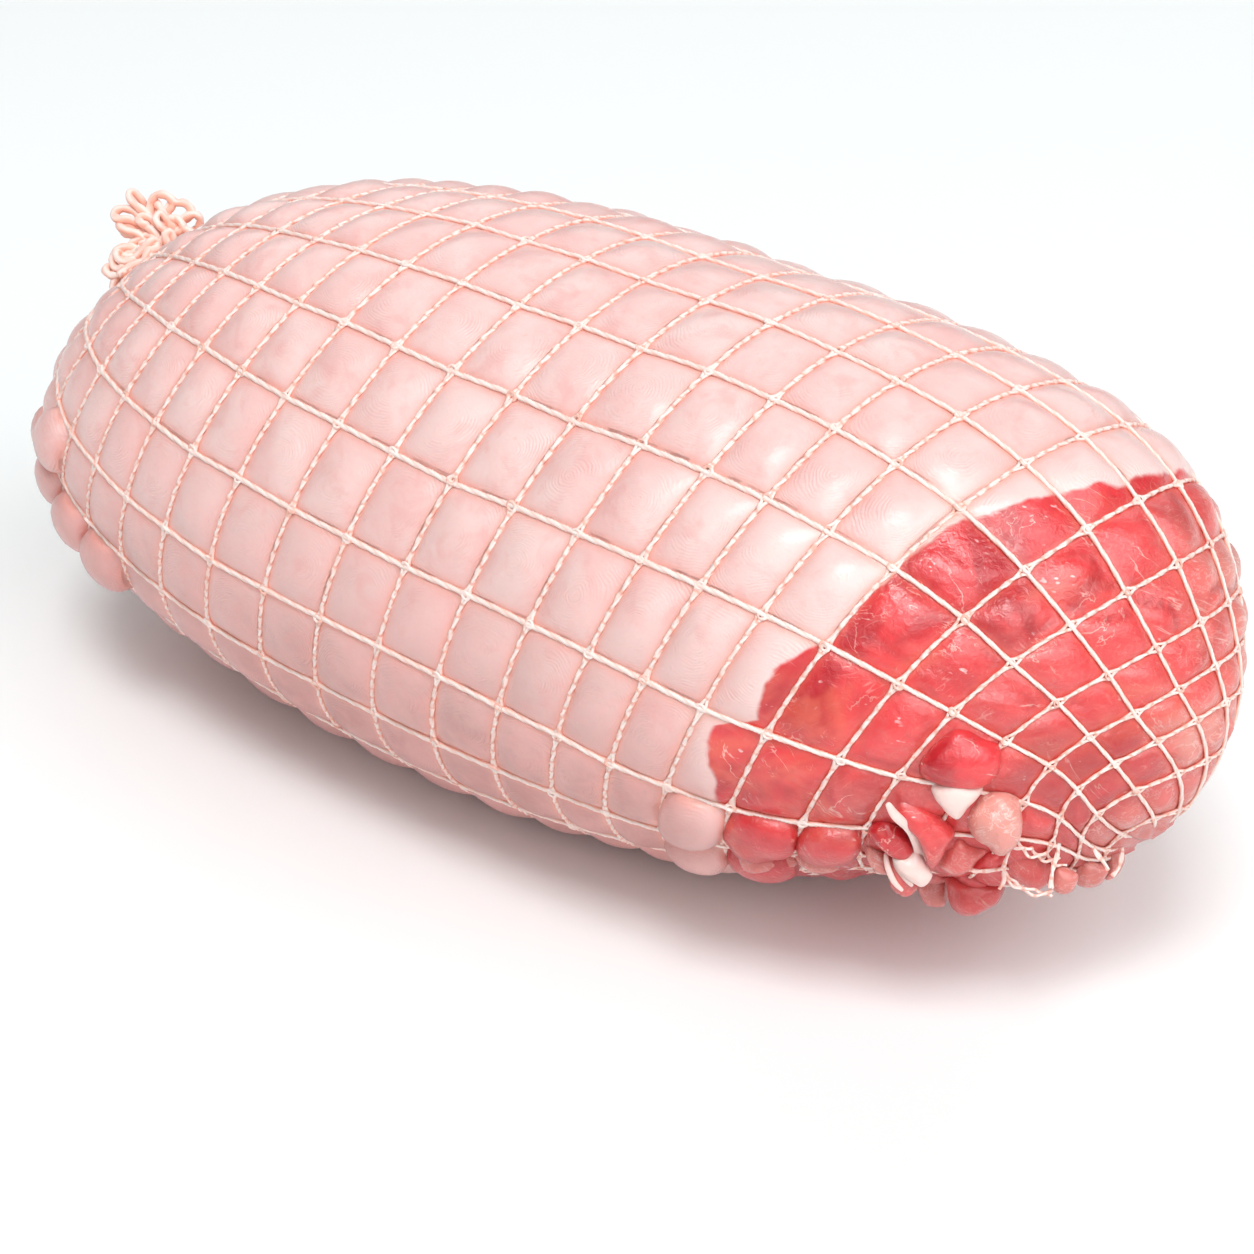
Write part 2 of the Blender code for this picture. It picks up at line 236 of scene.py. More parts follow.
# How far the net has slipped on the meat, in openings along and round it, at
# these rings and at strands 1, 3.5, 6 and 8.5.
SLIP_STRANDS = (1, 3.5, 6, 8.5)
NET_SLIP = {0: ((0.01, -0.61), (-0.23, 0.03), (-0.03, -0.17), (0.14, 0.01)),
            4.5: ((-0.41, -0.27), (-0.18, -0.03), (-0.03, -0.03), (0, 0.06)),
            9: ((-0.01, -0.11), (0.02, -0.12), (0.09, 0.13), (-0.03, -0.11)),
            13.5: ((0.24, -0.04), (-0.03, -0.03), (-0.01, -0.01), (0.17, 0.37)),
            16.5: ((0.32, 0.01), (0.24, 0.24), (-0.11, -0.07), (0.03, 0.27)),
            19: ((0.01, -0.03), (-0.12, 0.29), (-0.32, 0), (0.5, -0.85)),
            21: ((0.09, -0.36), (-0.1, -0.34), (-0.49, 0.47), (-0.14, 0.11))}
CELL_STEPS = 12
CROWDED_STEPS = 0.42
# Where the rind ends and the lean begins: strand number, ring number.
RIND_EDGE = [(0, 14.95), (1.3, 14.83), (2.43, 14.65), (2.97, 14.5), (3.67, 14.29), (4.17, 14.14), (4.93, 14.04),
             (5.6, 14), (5.9, 13.96), (6.03, 13.86), (6.23, 13.68), (6.4, 13.6), (6.6, 13.64), (6.9, 13.75),
             (7, 13.53), (7.1, 13.28), (7.27, 13.35), (7.7, 13.68), (7.93, 13.86), (8.3, 14), (8.83, 14.04),
             (9.97, 13.89), (11, 14), (13, 14.3), (15, 14.8), (17, 15.1), (19, 15.2), (20.5, 15.05), (22, 14.95)]
# Openings where the meat swells far out: ring, strand, how far in millimetres.
SWELLINGS = [(-1, 9, 2.2), (0, 8, 3), (0, 9, 3.4), (1, 9, 4), (2, 9, 3.8), (13, 8, 2.6), (13, 9, 2.4), (14, 8, 2.6),
             (15, 8, 2.8), (14, 9, 2.4)]


def station(ring):
    """Centre, size, lean, swing and flatness of the roll at ring numbers."""
    ring = ring + np.interp(ring, list(RING_SLIP), list(RING_SLIP.values()))
    middle = 0.5 * (LEFT_POLE + RIGHT_POLE)
    half = 0.5 * (RIGHT_POLE - LEFT_POLE)
    x = np.clip((ring - middle) / half, -0.9999, 0.9999)
    a = np.abs(x)

    def ends(left_right):
        return np.where(x < 0, *left_right)

    fade = ends(PITCH_FADE)
    along = RING_PITCH * half * (x - np.sign(x) * a ** (fade + 1) / (fade + 1))
    size = (1 - a ** ends(TAPER_POWER)) ** ends(TAPER_FULLNESS)
    bend = a ** ends(BEND_POWER)
    centre = np.stack([MIDDLE_X + along, ends(SWAY) * bend, CENTRE_HEIGHT + ends(RISE) * bend], -1)
    lean = LEAN + ends(END_LEAN) * bend
    swing = SWING + ends(END_SWING) * bend
    flat = UNDERSIDE_FLAT * 0.5 * (1 + np.tanh(1.6 * x))
    return centre, size, lean, swing, flat


def near(ring, strand, at_ring, at_strand, reach_ring, reach_strand):
    """One at a place on the roll, falling to nothing round it."""
    turn = (strand - at_strand + 0.5 * STRANDS) % STRANDS - 0.5 * STRANDS
    return np.exp(-((ring - at_ring) / reach_ring) ** 2 - (turn / reach_strand) ** 2)


def net_surface(ring, strand):
    """Points of the smooth skin in which the net lies."""
    ring, strand = np.broadcast_arrays(np.asarray(ring, float), np.asarray(strand, float))
    slip = np.zeros((2,) + ring.shape)
    for at_ring, row in NET_SLIP.items():
        reach = 3.2 if at_ring < 15 else 1.9
        for at_strand, (d_ring, d_strand) in zip(SLIP_STRANDS, row):
            amount = near(ring, strand, at_ring, at_strand, reach, 2)
            slip += np.stack([amount * d_ring, amount * d_strand])
    ring, strand = ring + slip[0], strand + slip[1]
    centre, size, lean, swing, flat = station(ring)
    turn = 2 * np.pi * strand / STRANDS
    angle = FIRST_STRAND_ANGLE + turn + STRAND_CROWDING * np.cos(2 * (turn - 2 * np.pi * 0.7 / STRANDS))
    across = HALF_WIDTH * size * np.cos(angle)
    up = np.sin(angle)
    under = 0.25 * (1 - up) * (1 - np.tanh(3 * up))
    height = HALF_HEIGHT * size * up * (1 - flat * under)
    z = centre[..., 2] + height * np.cos(lean)
    z = np.maximum(FLOOR_SOFTNESS * np.log1p(np.exp(z / FLOOR_SOFTNESS)), FLOOR_GAP)
    x = centre[..., 0] - height * np.sin(lean) + across * np.sin(swing)
    y = centre[..., 1] + across * np.cos(swing)
    place = np.stack([x, y, z], -1) + ROLL_SHIFT
    place += (np.clip((ring - 14.5) / 7.4, 0, 1) ** 2)[..., None] * END_SAG
    for at_ring, at_strand, reach_ring, reach_strand, move in SOFT_SHAPE:
        place += near(ring, strand, at_ring, at_strand, reach_ring, reach_strand)[..., None] * np.array(move) * MM
    place[..., 2] = np.maximum(place[..., 2], FLOOR_GAP)
    return place


def unit(v):
    return v / np.maximum(np.linalg.norm(v, axis=-1, keepdims=True), 1e-12)


def surface_frame(ring, strand):
    """Point, the two directions of the net with their lengths per cell, and the outward normal."""
    ring = np.asarray(ring, float)
    low = np.maximum(ring - 0.05, LEFT_POLE + 0.003)
    high = np.minimum(ring + 0.05, RIGHT_POLE - 0.003)
    point = net_surface(ring, strand)
    along = (net_surface(high, strand) - net_surface(low, strand)) / (high - low)[..., None]
    around = (net_surface(ring, strand + 0.05) - net_surface(ring, strand - 0.05)) / 0.1
    normal = unit(np.cross(along, around))
    outward = point - ROLL_SHIFT - station(ring)[0]
    normal = np.where((normal * outward).sum(-1, keepdims=True) < 0, -normal, normal)
    return point, along, around, normal


def lumps(points, size, seed):
    """Smooth noise from -1 to 1 at points, with features of the given size."""
    offset = Vector((seed * 7.1, seed * 3.7, seed * 5.3))
    values = [noise.noise(Vector(p) / size + offset) for p in points.reshape(-1, 3)]
    return np.array(values).reshape(points.shape[:-1])


def meat_lattice():
    """Ring and strand numbers of the points of the meat, closer together beside the cords."""
    steps = np.arange(CELL_STEPS) / CELL_STEPS
    steps = steps - CROWDED_STEPS * np.sin(2 * np.pi * steps) / (2 * np.pi)
    rings = [np.linspace(LEFT_POLE + 0.004, FIRST_RING, 5)[:-1]]
    rings += [ring + steps for ring in range(FIRST_RING, LAST_RING)]
    rings += [LAST_RING + (RIGHT_POLE - LAST_RING - 0.004) * np.linspace(0, 1, CELL_STEPS)]
    strands = np.concatenate([strand + steps for strand in range(STRANDS)])
    return np.meshgrid(np.concatenate(rings), strands, indexing="ij")


def keep(mesh, name, values):
    """Keeps one number or one vector at each point of a mesh."""
    values = np.asarray(values, np.float32)
    kind, slot = ("FLOAT", "value") if values.ndim == 1 else ("FLOAT_VECTOR", "vector")
    mesh.attributes.new(name, kind, "POINT").data.foreach_set(slot, values.ravel())


def outward_piece(name, mesh):
    """Turns the faces of a closed mesh outward and puts it in the scene."""
    bm = bmesh.new()
    bm.from_mesh(mesh)
    bmesh.ops.recalc_face_normals(bm, faces=bm.faces)
    bm.to_mesh(mesh)
    bm.free()
    return add(name, mesh)


def bands(index):
    """Faces between each ring of points and the next."""
    return [tuple(map(int, face)) for low, high in zip(index, index[1:])
            for face in zip(low, np.roll(low, -1), np.roll(high, -1), high)]


def meat_piece(name, verts, faces, fields):
    """A smooth closed piece of meat, with the numbers that its finish needs."""
    mesh = bpy.data.meshes.new(name)
    mesh.from_pydata(verts, [], faces)
    piece = outward_piece(name, mesh)
    mesh.polygons.foreach_set("use_smooth", [True] * len(mesh.polygons))
    for key, values in fields.items():
        keep(mesh, key, values)
    return piece


def build_meat():
    ring, strand = meat_lattice()
    point, along, around, normal = surface_frame(ring, strand)
    length = np.linalg.norm(along, axis=-1)
    width = np.linalg.norm(around, axis=-1)
    cell_ring, whole_strand = np.floor(ring + 1e-9).astype(int), np.floor(strand + 1e-9).astype(int)
    cell_strand = whole_strand % STRANDS
    s, t = ring - cell_ring, strand - whole_strand
    rows, columns = ring.shape

    edge_strand, edge_ring = zip(*RIND_EDGE)
    to_edge = (ring - np.interp(strand % STRANDS, edge_strand, edge_ring)) * length / MM
    to_edge = to_edge + (lumps(point, 6 * MM, 1) + 0.35 * lumps(point, 2.2 * MM, 2))
    lean_part = 1 / (1 + np.exp(-np.clip(to_edge, -20, 20) / 0.45))

    to_ring = np.where(ring > LAST_RING, ring - LAST_RING, np.minimum(s, 1 - s)) * length
    to_strand = np.minimum(t, 1 - t) * width
    rng = np.random.default_rng(11)
    swell, shift_s, shift_t = [rng.uniform(*reach, (40, STRANDS))[cell_ring - FIRST_RING + 2, cell_strand]
                               for reach in ((0.82, 1.18), (-0.08, 0.08), (-0.08, 0.08))]
    u = np.clip(2 * s - 1 + shift_s * 4 * s * (1 - s), -1, 1)
    v = np.clip(2 * t - 1 + shift_t * 4 * t * (1 - t), -1, 1)
    roundness = 2.1 - 0.4 * lean_part
    dome = (1 - np.abs(u) ** roundness) * (1 - np.abs(v) ** roundness)
    crown = np.minimum((1.55 - 0.30 * lean_part) * MM, (0.16 - 0.04 * lean_part) * np.minimum(length, width)) * swell
    off_cord = (1 - np.exp(-(to_ring / (1 * MM)) ** 2)) * (1 - np.exp(-(to_strand / (1 * MM)) ** 2))
    # cord_gap: the groove under each cord, and the mask for the painted contact shade beside the cords.
    cord_gap = 1 - off_cord
    # Painted shade on the slopes of each pillow beside the cords, falling off over 2.6 mm.
    cord_side_shade = np.exp(-(np.minimum(to_ring, to_strand) / (2.6 * MM)) ** 2)
    height = crown * dome - (0.05 + 0.13 * lean_part) * MM * cord_gap
    height += 0.35 * MM * (1 - lean_part) * np.exp(-np.clip(-to_edge, 0, 60) / 5)

    # Bundles of lean that overlap, with a crease where each goes under the next.
    soft = lumps(point, 21 * MM, 3)
    folds = lumps(point, 9 * MM, 4)
    bundle = point @ np.array((0.30, 0.15, 0.95)) / (15 * MM) + 0.55 * folds + 0.30 * soft
    bundle = bundle - np.floor(bundle)
    overlap = np.where(bundle < 0.88, bundle / 0.88, (1 - bundle) / 0.12)
    # The crease also darkens the colour of the lean: painted shade in the crease.
    crease = np.exp(-(np.minimum(bundle, 1 - bundle) / 0.05) ** 2) * lean_part * off_cord
    crease *= np.clip(0.45 + 1.6 * lumps(point, 16 * MM, 6), 0, 1)
    height += 0.22 * MM * soft * off_cord - 0.30 * MM * crease
    # A pocket near ring 18.7 gets painted crease shade in its colour only, with no crease in the meat.
    crease = np.maximum(crease, 0.95 * near(ring, strand, 18.7, 5.2, 1.3, 1.3) * (1 + 0.5 * folds))
    grain = 0.75 * (overlap - 0.5) + 0.20 * folds + 0.12 * lumps(point, 3 * MM, 5)
    height += lean_part * grain * MM * off_cord

    lateral = np.zeros_like(height)
    for at_ring, at_strand, far in SWELLINGS:
        here = (cell_ring == at_ring) & (cell_strand == at_strand % STRANDS)
        reach = np.clip(1 - (np.abs(u) ** 2.4 + np.abs(v) ** 2.4), 0, 1) ** 0.55
        height += np.where(here, far * MM * reach, 0)
        lateral += np.where(here, 0.55 * far * MM * reach, 0)
    place = point + normal * height[..., None]
    place += unit(along) * (u * lateral)[..., None] + unit(around) * (v * lateral)[..., None]
    sunk = place[..., 2] - 1.2 * MM * np.exp(-np.maximum(place[..., 2], 0) / (5 * MM))
    place[..., 2] = 1.6 * MM * np.logaddexp(0, sunk / (1.6 * MM))

    # Paler meat and film toward the right end, but for one dark pocket whose darkness is painted crease shade.
    down = (strand + 8) % STRANDS - 8
    pale = np.clip((ring - 14.8) / 1.6, 0, 1) * np.clip((3 - down) / 2.4, 0.14, 1)
    pale = np.maximum(pale, np.clip((ring - 18.1) / 1, 0, 1) * np.clip((4.8 - down) / 1.2, 0, 0.9))
    pale = np.maximum(pale, 0.75 * np.clip((ring - 19.6) / 0.8, 0, 1))
    pale *= 1 - 0.9 * near(ring, strand, 18.8, 5.3, 1.1, 1.1)
    pale *= np.clip(point[..., 2] / (40 * MM), 0.25, 1) * (0.85 + 0.55 * folds)

    verts = np.vstack([place.reshape(-1, 3), place[0].mean(0), place[-1].mean(0)])
    index = np.arange(rows * columns).reshape(rows, columns)
    faces = bands(index)
    left_tip, right_tip = rows * columns, rows * columns + 1
    faces += [(left_tip, int(q), int(p)) for p, q in zip(index[0], np.roll(index[0], -1))]
    faces += [(right_tip, int(p), int(q)) for p, q in zip(index[-1], np.roll(index[-1], -1))]
    fields = {"past_rind": to_edge, "cord_gap": cord_gap, "crease": crease, "paleness": pale, "cord_side_shade": cord_side_shade}
    fields = {key: np.append(values.ravel(), values.ravel()[[0, -1]]) for key, values in fields.items()}
    in_cell = np.stack([u * length, v * width, 0 * u], -1).reshape(-1, 3) / (2 * MM)
    fields["in_cell"] = np.vstack([in_cell, np.zeros((2, 3))])
    return meat_piece("rolled_meat", verts.tolist(), faces, fields)


def meat_finish():
    f = Finish("rind_and_lean")
    here = f.place()
    past = f.field("past_rind")
    pale = f.field("paleness")
    frayed = f.times(f.minus(f.grain(here, 300), 0.5), 1.6)
    lean = f.ramp(f.plus(past, frayed), -0.45, 0.50)

    # Rind: painted shade makes it darker and redder toward the table; mottled and pored, white along its cut edge,
    # with painted warm contact shade under the cords and painted shade on the pillow slopes beside them.
    mottle = f.grain(here, 55, 4, 0.62, 0.4)
    blotch = f.grain(here, 150, 3, 0.6, 0.5)
    rise = f.node("ShaderNodeSeparateXYZ", {0: here}).outputs["Z"]
    # high: painted shade, a ramp by height from the shaded low colour to the lit top colour.
    high = f.ramp(f.plus(rise, f.times(f.minus(mottle, 0.5), 0.03)), 0.012, 0.080)
    rind = f.layers(
        f.mix(high, (0.50, 0.190, 0.168), (0.92, 0.665, 0.635)),
        (f.ramp(mottle, 0.36, 0.66, 0, 0.36), (0.84, 0.38, 0.36)),
        (f.ramp(blotch, 0.48, 0.72, 0, 0.36), (0.80, 0.34, 0.32)),
        # Painted shade: a rosier tint on the slopes beside the cords.
        (f.times(f.field("cord_side_shade"), 0.30), (0.84, 0.42, 0.40)),
        (f.ramp(f.grain(here, 900), 0.68, 0.80, 0, 0.30), (0.80, 0.40, 0.34)),
        # The white cut edge is painted darker low down by the same height shade.
        (f.ramp(past, -9, -0.5, 0, 0.80), f.mix(high, (0.74, 0.42, 0.40), (0.93, 0.69, 0.66))),
        (pale, (0.93, 0.70, 0.65)),
        # Painted warm contact shade in the groove where the rind meets the cords.
        (f.times(f.field("cord_gap"), 0.90), (0.88, 0.38, 0.30)))

    # Lean: streaks and bands of muscle, fine threads of fat mixed with painted glints, film where it is pale, painted
    # glint flecks, and painted shade in creases, beside the cords and low down.
    streak = f.grain(f.place((0.35, 0.2, 0.75), (1, 0.22, 0.6)), 420, 4, 0.6, 0.6)
    patch = f.grain(here, 70, 3, 0.55, 0.8)
    band = f.grain(f.place((0.5, 0.4, 0.1), (0.8, 0.5, 1.3)), 60, 3, 0.55, 0.9)
    vein = f.grain(f.place((0.9, 0.3, 0.4), (1, 0.35, 1)), 120, 4, 0.55, 1.6)
    vein = f.times(f.thin_line(vein, 0.016), f.ramp(f.grain(here, 130), 0.50, 0.62))
    meat = f.layers(
        f.mix(f.ramp(patch, 0.34, 0.62), (0.52, 0.006, 0.015), (0.86, 0.046, 0.055)),
        (f.ramp(streak, 0.45, 0.75, 0, 0.40), (0.80, 0.17, 0.16)),
        (f.ramp(band, 0.54, 0.70, 0, 0.45), (0.90, 0.19, 0.11)),
        (f.times(vein, 0.75), (0.95, 0.62, 0.55)))
    # Thin pale lines in patches: partly threads of fat, partly painted glints.
    for turn, scale, patch_scale in (((0.2, 0.8, 1.1), 620, 210), ((0.9, 0.1, 0.5), 900, 260)):
        thread_and_glint = f.thin_line(f.grain(f.place(turn, (1, 0.17, 1)), scale, 1, 0.5, 0.15), 0.016)
        where = f.ramp(f.grain(f.place(turn, (1, 0.7, 1)), patch_scale, 2, 0.55), 0.58, 0.66)
        meat = f.mix(f.times(f.times(thread_and_glint, where), 0.28), meat, (1, 0.66, 0.60))
    film = f.grain(f.place((0.3, 0.9, 0.2), (1, 0.45, 1)), 260, 3, 0.6, 2.2)
    # Painted glints: tiny white flecks in patches on the lean.
    painted_glint = f.ramp(f.grain(f.place((0.6, 0.2, 0.9), (1, 0.45, 1)), 1100, 1), 0.66, 0.72)
    meat = f.layers(
        meat,
        (f.times(pale, 0.92), (0.84, 0.38, 0.32)),
        (f.times(pale, f.thin_line(film, 0.035, 0.60)), (0.96, 0.72, 0.66)),
        (f.times(painted_glint, f.ramp(f.grain(here, 190), 0.55, 0.66, 0, 0.75)), (1, 0.80, 0.78)),
        # Painted shade in creases.
        (f.times(f.field("crease"), 0.60), (0.34, 0.008, 0.016)),
        # Painted shade: a darker red on the slopes beside the cords.
        (f.times(f.field("cord_side_shade"), 0.25), (0.50, 0.010, 0.018)),
        # Painted light and shade in the crevice where the lean meets the cords: a warm orange in place of the dark
        # crevice.
        (f.times(f.field("cord_gap"), 0.45), (0.84, 0.16, 0.12)),
        # Painted shade: the lean darker toward the table.
        (f.ramp(rise, 0.055, 0.014, 0, 0.60), (0.42, 0.012, 0.018)))

    # Relief: pressed rings and pores in the skin, the grain of the lean, and wet sparkle over both.
    in_cell = f.field("in_cell", "Vector")
    from_middle = f.node("ShaderNodeVectorMath", {0: in_cell}, operation="LENGTH").outputs["Value"]
    ridges = f.sums("SINE", f.plus(f.times(from_middle, 11.5), f.times(f.grain(here, 230), 26)))
    ridges = f.times(ridges, f.ramp(f.grain(here, 170), 0.42, 0.60))
    skin_height = f.plus(f.times(ridges, 0.20), f.grain(here, 1500, 3, 0.6))
    lean_height = f.times(f.plus(f.times(streak, 0.8), f.times(f.grain(here, 650, 3, 0.6, 0.8), 0.9)), 2.2)
    height = f.first("ShaderNodeMix", {0: lean, 2: skin_height, 3: lean_height})
    sparkle = f.plus(f.grain(here, 620, 2, 0.5, 1), f.times(f.grain(here, 1500, 3, 0.7, 0.8), 0.6))
    sparkle = f.times(sparkle, f.ramp(lean, 0, 1, 0.30, 1.5))
    f.surface(Base_Color=f.mix(lean, rind, meat), Normal=f.relief(height, 0.00011),
              Roughness=f.ramp(lean, 0, 1, 0.50, 0.30), Specular_IOR_Level=0.70,
              Subsurface_Weight=0.40, Subsurface_Radius=(1, 0.55, 0.45), Subsurface_Scale=0.0012,
              Coat_Weight=0.45, Coat_Roughness=0.19, Coat_Normal=f.relief(sparkle, 0.00016))
    return f.mat


meat = build_meat()
meat.data.materials.append(meat_finish())
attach(meat, "root")
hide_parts("shoulder")

# Lobes at the cut end
# Where the roll was cut, flaps of lean and soft fat squeeze out between the
# cords and fold over one another. Each is one rounded pad or strip of meat.
# Name, centre in millimetres, the way it faces, how far it swells to the front
# and to the back, how fat and how pale it is, and its outline seen from the front.
LOW_FACING = (0.57, -0.73, 0.39)
PADS = [
    ("big_red", (104.2, -38.6, 55.5), (0.6, -0.75, 0.29), 4.6, 4, 0, 0,
     [(-4, 2.9), (-1.9, 4.7), (0.2, 5), (3.3, 3.9), (6, 2.3), (6.7, -0.1), (5.9, -3.1), (4.1, -5), (0.4, -5.1),
      (-3.3, -4.6), (-5.9, -2.8), (-6.3, -0.6), (-5.3, 1.5)]),
    ("white_wedge", (105.1, -40.4, 48.7), (0.59, -0.74, 0.33), 2.6, 3, 1, 1,
     [(-3.8, 2.2), (-0.2, 2.8), (3.8, 2.2), (3.7, 0.8), (2.4, -0.9), (0.6, -2.9), (-0.5, -2.8), (-2.2, -1.6),
      (-3.6, 0.2)]),
    ("pink_ball", (109.4, -35.1, 44.2), (0.6, -0.73, 0.31), 5.2, 4, 0.25, 1,
     [(-2.5, 4.1), (-1.2, 5), (0.4, 5.2), (2.3, 4.5), (3.8, 3), (4.3, 0.5), (4, -2.2), (3, -4.4), (1.4, -5.7),
      (-0.2, -5.4), (-1.3, -4.2), (-2.9, -3.3), (-4, -1.1), (-4.3, 0.8), (-3.7, 2.5)]),
    ("red_fold", (99.9, -41.2, 41.6), (0.59, -0.79, 0.17), 3.4, 3.5, 0, 0.1,
     [(-4.8, 6.3), (-2.3, 6.1), (0.4, 4), (3.5, 1.6), (5.2, -0.5), (4.2, -3.2), (2.5, -6.2), (1.4, -6.7), (0.3, -4.4),
      (-1.2, -1.5), (-3.2, 0.8), (-5.5, 3.6)]),
    ("dark_fold", (95.1, -42.8, 39), (0.58, -0.81, 0.13), 3, 3, 0, 0,
     [(-3.9, 1.9), (-2.5, 3.4), (-0.9, 3.8), (0.5, 2.5), (2.4, 1.1), (3.5, -0.4), (3.9, -2.5), (2.5, -4), (0.5, -3.6),
      (-1.7, -2.2), (-3.7, 0.1)]),
    ("orange_lobe", (104, -34.9, 35), (0.6, -0.79, 0.13), 2.8, 3, 0, 0.45,
     [(-4.4, -1.3), (-1.5, 3.6), (0.7, 3), (3.3, 1.8), (3.9, 0.7), (1.5, -2.1), (-0.6, -3.3), (-2.8, -2.8)]),
    ("low_red", (106.7, -31.9, 33.2), (0.61, -0.78, 0.13), 2.2, 3, 0, 0.1,
     [(-0.4, 2.1), (2.5, 2.3), (3, -1), (0.4, -1.9), (-3.2, -1.6), (-2, 0.2)]),
    ("low_pillow", (111.5, -26.3, 30.9), (0.68, -0.73, 0.03), 2.4, 3, 0, 0.35,
     [(-3.8, 3.8), (-1.5, 4), (3.5, 1.5), (4, -0.6), (2.8, -3.3), (0.7, -4.1), (-2.3, -1.7), (-3.6, 0.5)]),
    ("white_tongue", (99.3, -42, 34.2), LOW_FACING, 1.7, 1.8, 1, 1,
     [(-3.3, 1.6), (-1.6, 2), (-0.1, 3.1), (1.1, 2.2), (2.5, -0.3), (2.9, -1.5), (1.9, -2.8), (0.7, -3), (-1.5, -1.4),
      (-2.9, 0.4)]),
    ("red_tongue", (96.4, -42, 31.4), LOW_FACING, 2, 2.2, 0, 0.4,
     [(-2.3, 4.2), (-0.9, 3.5), (0.8, 1.2), (2.4, -0.8), (2.9, -2.1), (2, -3.2), (0.6, -3.2), (-1, -1.9), (-1.9, 0.2),
      (-2.7, 2.5)]),
    ("small_pale", (92.2, -42.6, 33.3), LOW_FACING, 1.6, 2, 0.35, 1,
     [(-1.7, 2.2), (-0.1, 2), (1.7, 0.7), (1.9, -2.5), (-0.2, -1.8), (-1.6, -0.2)]),
    ("bottom_pale", (94.3, -27.5, 19.8), (0.56, -0.73, 0.38), 2.2, 2.6, 0.25, 1,
     [(-2.6, 1.4), (-1.4, 2.8), (0.4, 3.1), (2.3, 1.9), (2.6, -1), (2.2, -2.6), (0.5, -2.9), (-1.3, -2.4),
      (-2.4, -0.5)]),
    ("bottom_ball", (102.1, -27.2, 22.2), LOW_FACING, 4.2, 4.2, 0, 0.25,
     [(-4.5, 2.8), (-2.2, 3.4), (1.5, 3.1), (4.8, 2.4), (5.2, 1.1), (3.8, -1.1), (1.4, -2.8), (-0.1, -3.9),
      (-2.2, -3.6), (-3.8, -1.9), (-4.5, 0.4)]),
    ("pale_root", (93.9, -26.9, 23.6), LOW_FACING, 3, 3.4, 0, 0.5,
     [(-2.6, 1.6), (-1.2, 2.9), (1.3, 2.8), (2.8, 1.5), (2.7, -1.4), (1.3, -2.8), (-1.2, -2.7), (-2.7, -1.3)]),
    ("ball_root", (101.6, -26.7, 26.6), LOW_FACING, 3.4, 3.8, 0, 0.1,
     [(-3.2, 1.8), (-1.6, 3.2), (1.4, 3.3), (3.3, 1.8), (3.4, -1.2), (1.6, -3), (-1.4, -3.1), (-3.2, -1.4)]),
    ("end_wedge", (116, -22.8, 28.5), (0.59, -0.7, 0.39), 1.8, 2.2, 0, 0.9,
     [(-1.1, 2.5), (2.4, 0.9), (1.5, -1.7), (-1, -1.7), (-1.6, -0.2)]),
    ("end_pink", (117.8, -16.2, 27.4), (0.63, -0.7, 0.35), 2.2, 2.6, 0, 0.9,
     [(-2.6, 1.7), (-1.2, 2.8), (0.8, 2.2), (2.9, 0.8), (2.5, -0.7), (1.1, -2.1), (-1.1, -2.6), (-2.5, -1.8)]),
    ("end_pale", (119.1, -11.4, 27.2), (0.64, -0.69, 0.35), 1.5, 2, 0.4, 1,
     [(-0.8, 3.1), (1.2, 3.1), (1.6, -0.1), (0.4, -2.5), (-1.4, -2.9), (-0.9, -0.5)]),
    ("under_pink", (73.5, -46.2, 27.4), (0.56, -0.78, 0.28), 2.2, 2.2, 0, 0.8,
     [(-5.4, 1.6), (-3.1, 2.1), (1.1, 2.3), (4.3, 1.5), (4.8, -0.6), (2.9, -2), (-0.5, -2.7), (-3.8, -2.2)]),
    ("under_pale", (81.1, -43.6, 28.6), (0.58, -0.77, 0.28), 1.8, 2.2, 0.5, 1,
     [(-3, 2.2), (-0.5, 1.9), (2.8, 0.6), (3.9, -1.1), (1.2, -2.1), (-1.4, -1.4), (-3, 0.1)]),
    ("skin_fold", (62, -47.6, 24.4), (0.53, -0.83, 0.16), 2, 2.4, 1, 0.5,
     [(-3.4, 1), (-1.4, 1.8), (1.7, 1.8), (3.4, 0.8), (2.8, -1.2), (-0.2, -2.5), (-2.6, -1.8)])]
# Strips: name, points along it and half widths there in millimetres, flatness,
# how blunt its ends are, how fat and how pale it is.
STRIPS = [
    ("white_rim", [(96.8, -47.4, 48.2), (97.9, -46.6, 46), (99.1, -45.1, 43.6), (99.7, -43.5, 40.8),
     (99.5, -41.3, 37.3), (98.5, -38.4, 33)], [0.7, 0.8, 0.6, 0.7, 1, 1.3], 0.6, 5, 1, 1),
    ("pale_rim", [(94.7, -43.7, 35.9), (95.7, -44.3, 33.8), (97.2, -44.5, 31.8), (98.7, -44.2, 30.5)],
     [0.4, 0.5, 0.5, 0.4], 0.8, 5, 1, 0.8),
    ("inner_rim", [(95.9, -43, 35.5), (96.8, -43.3, 33.9), (98.4, -43.2, 32.4), (99.7, -42.9, 31.2)],
     [0.4, 0.5, 0.5, 0.4], 0.8, 5, 1, 0.8),
    ("under_film", [(70.7, -50.1, 29.8), (72.7, -48.9, 29.2), (74.4, -47.1, 30)], [0.4, 0.5, 0.4], 0.6, 4, 1, 0)]
PAD_SIDES, PAD_RINGS = 44, 11
STRIP_ROWS, STRIP_SIDES = 34, 20
LOBE_REST = 0.3 * MM


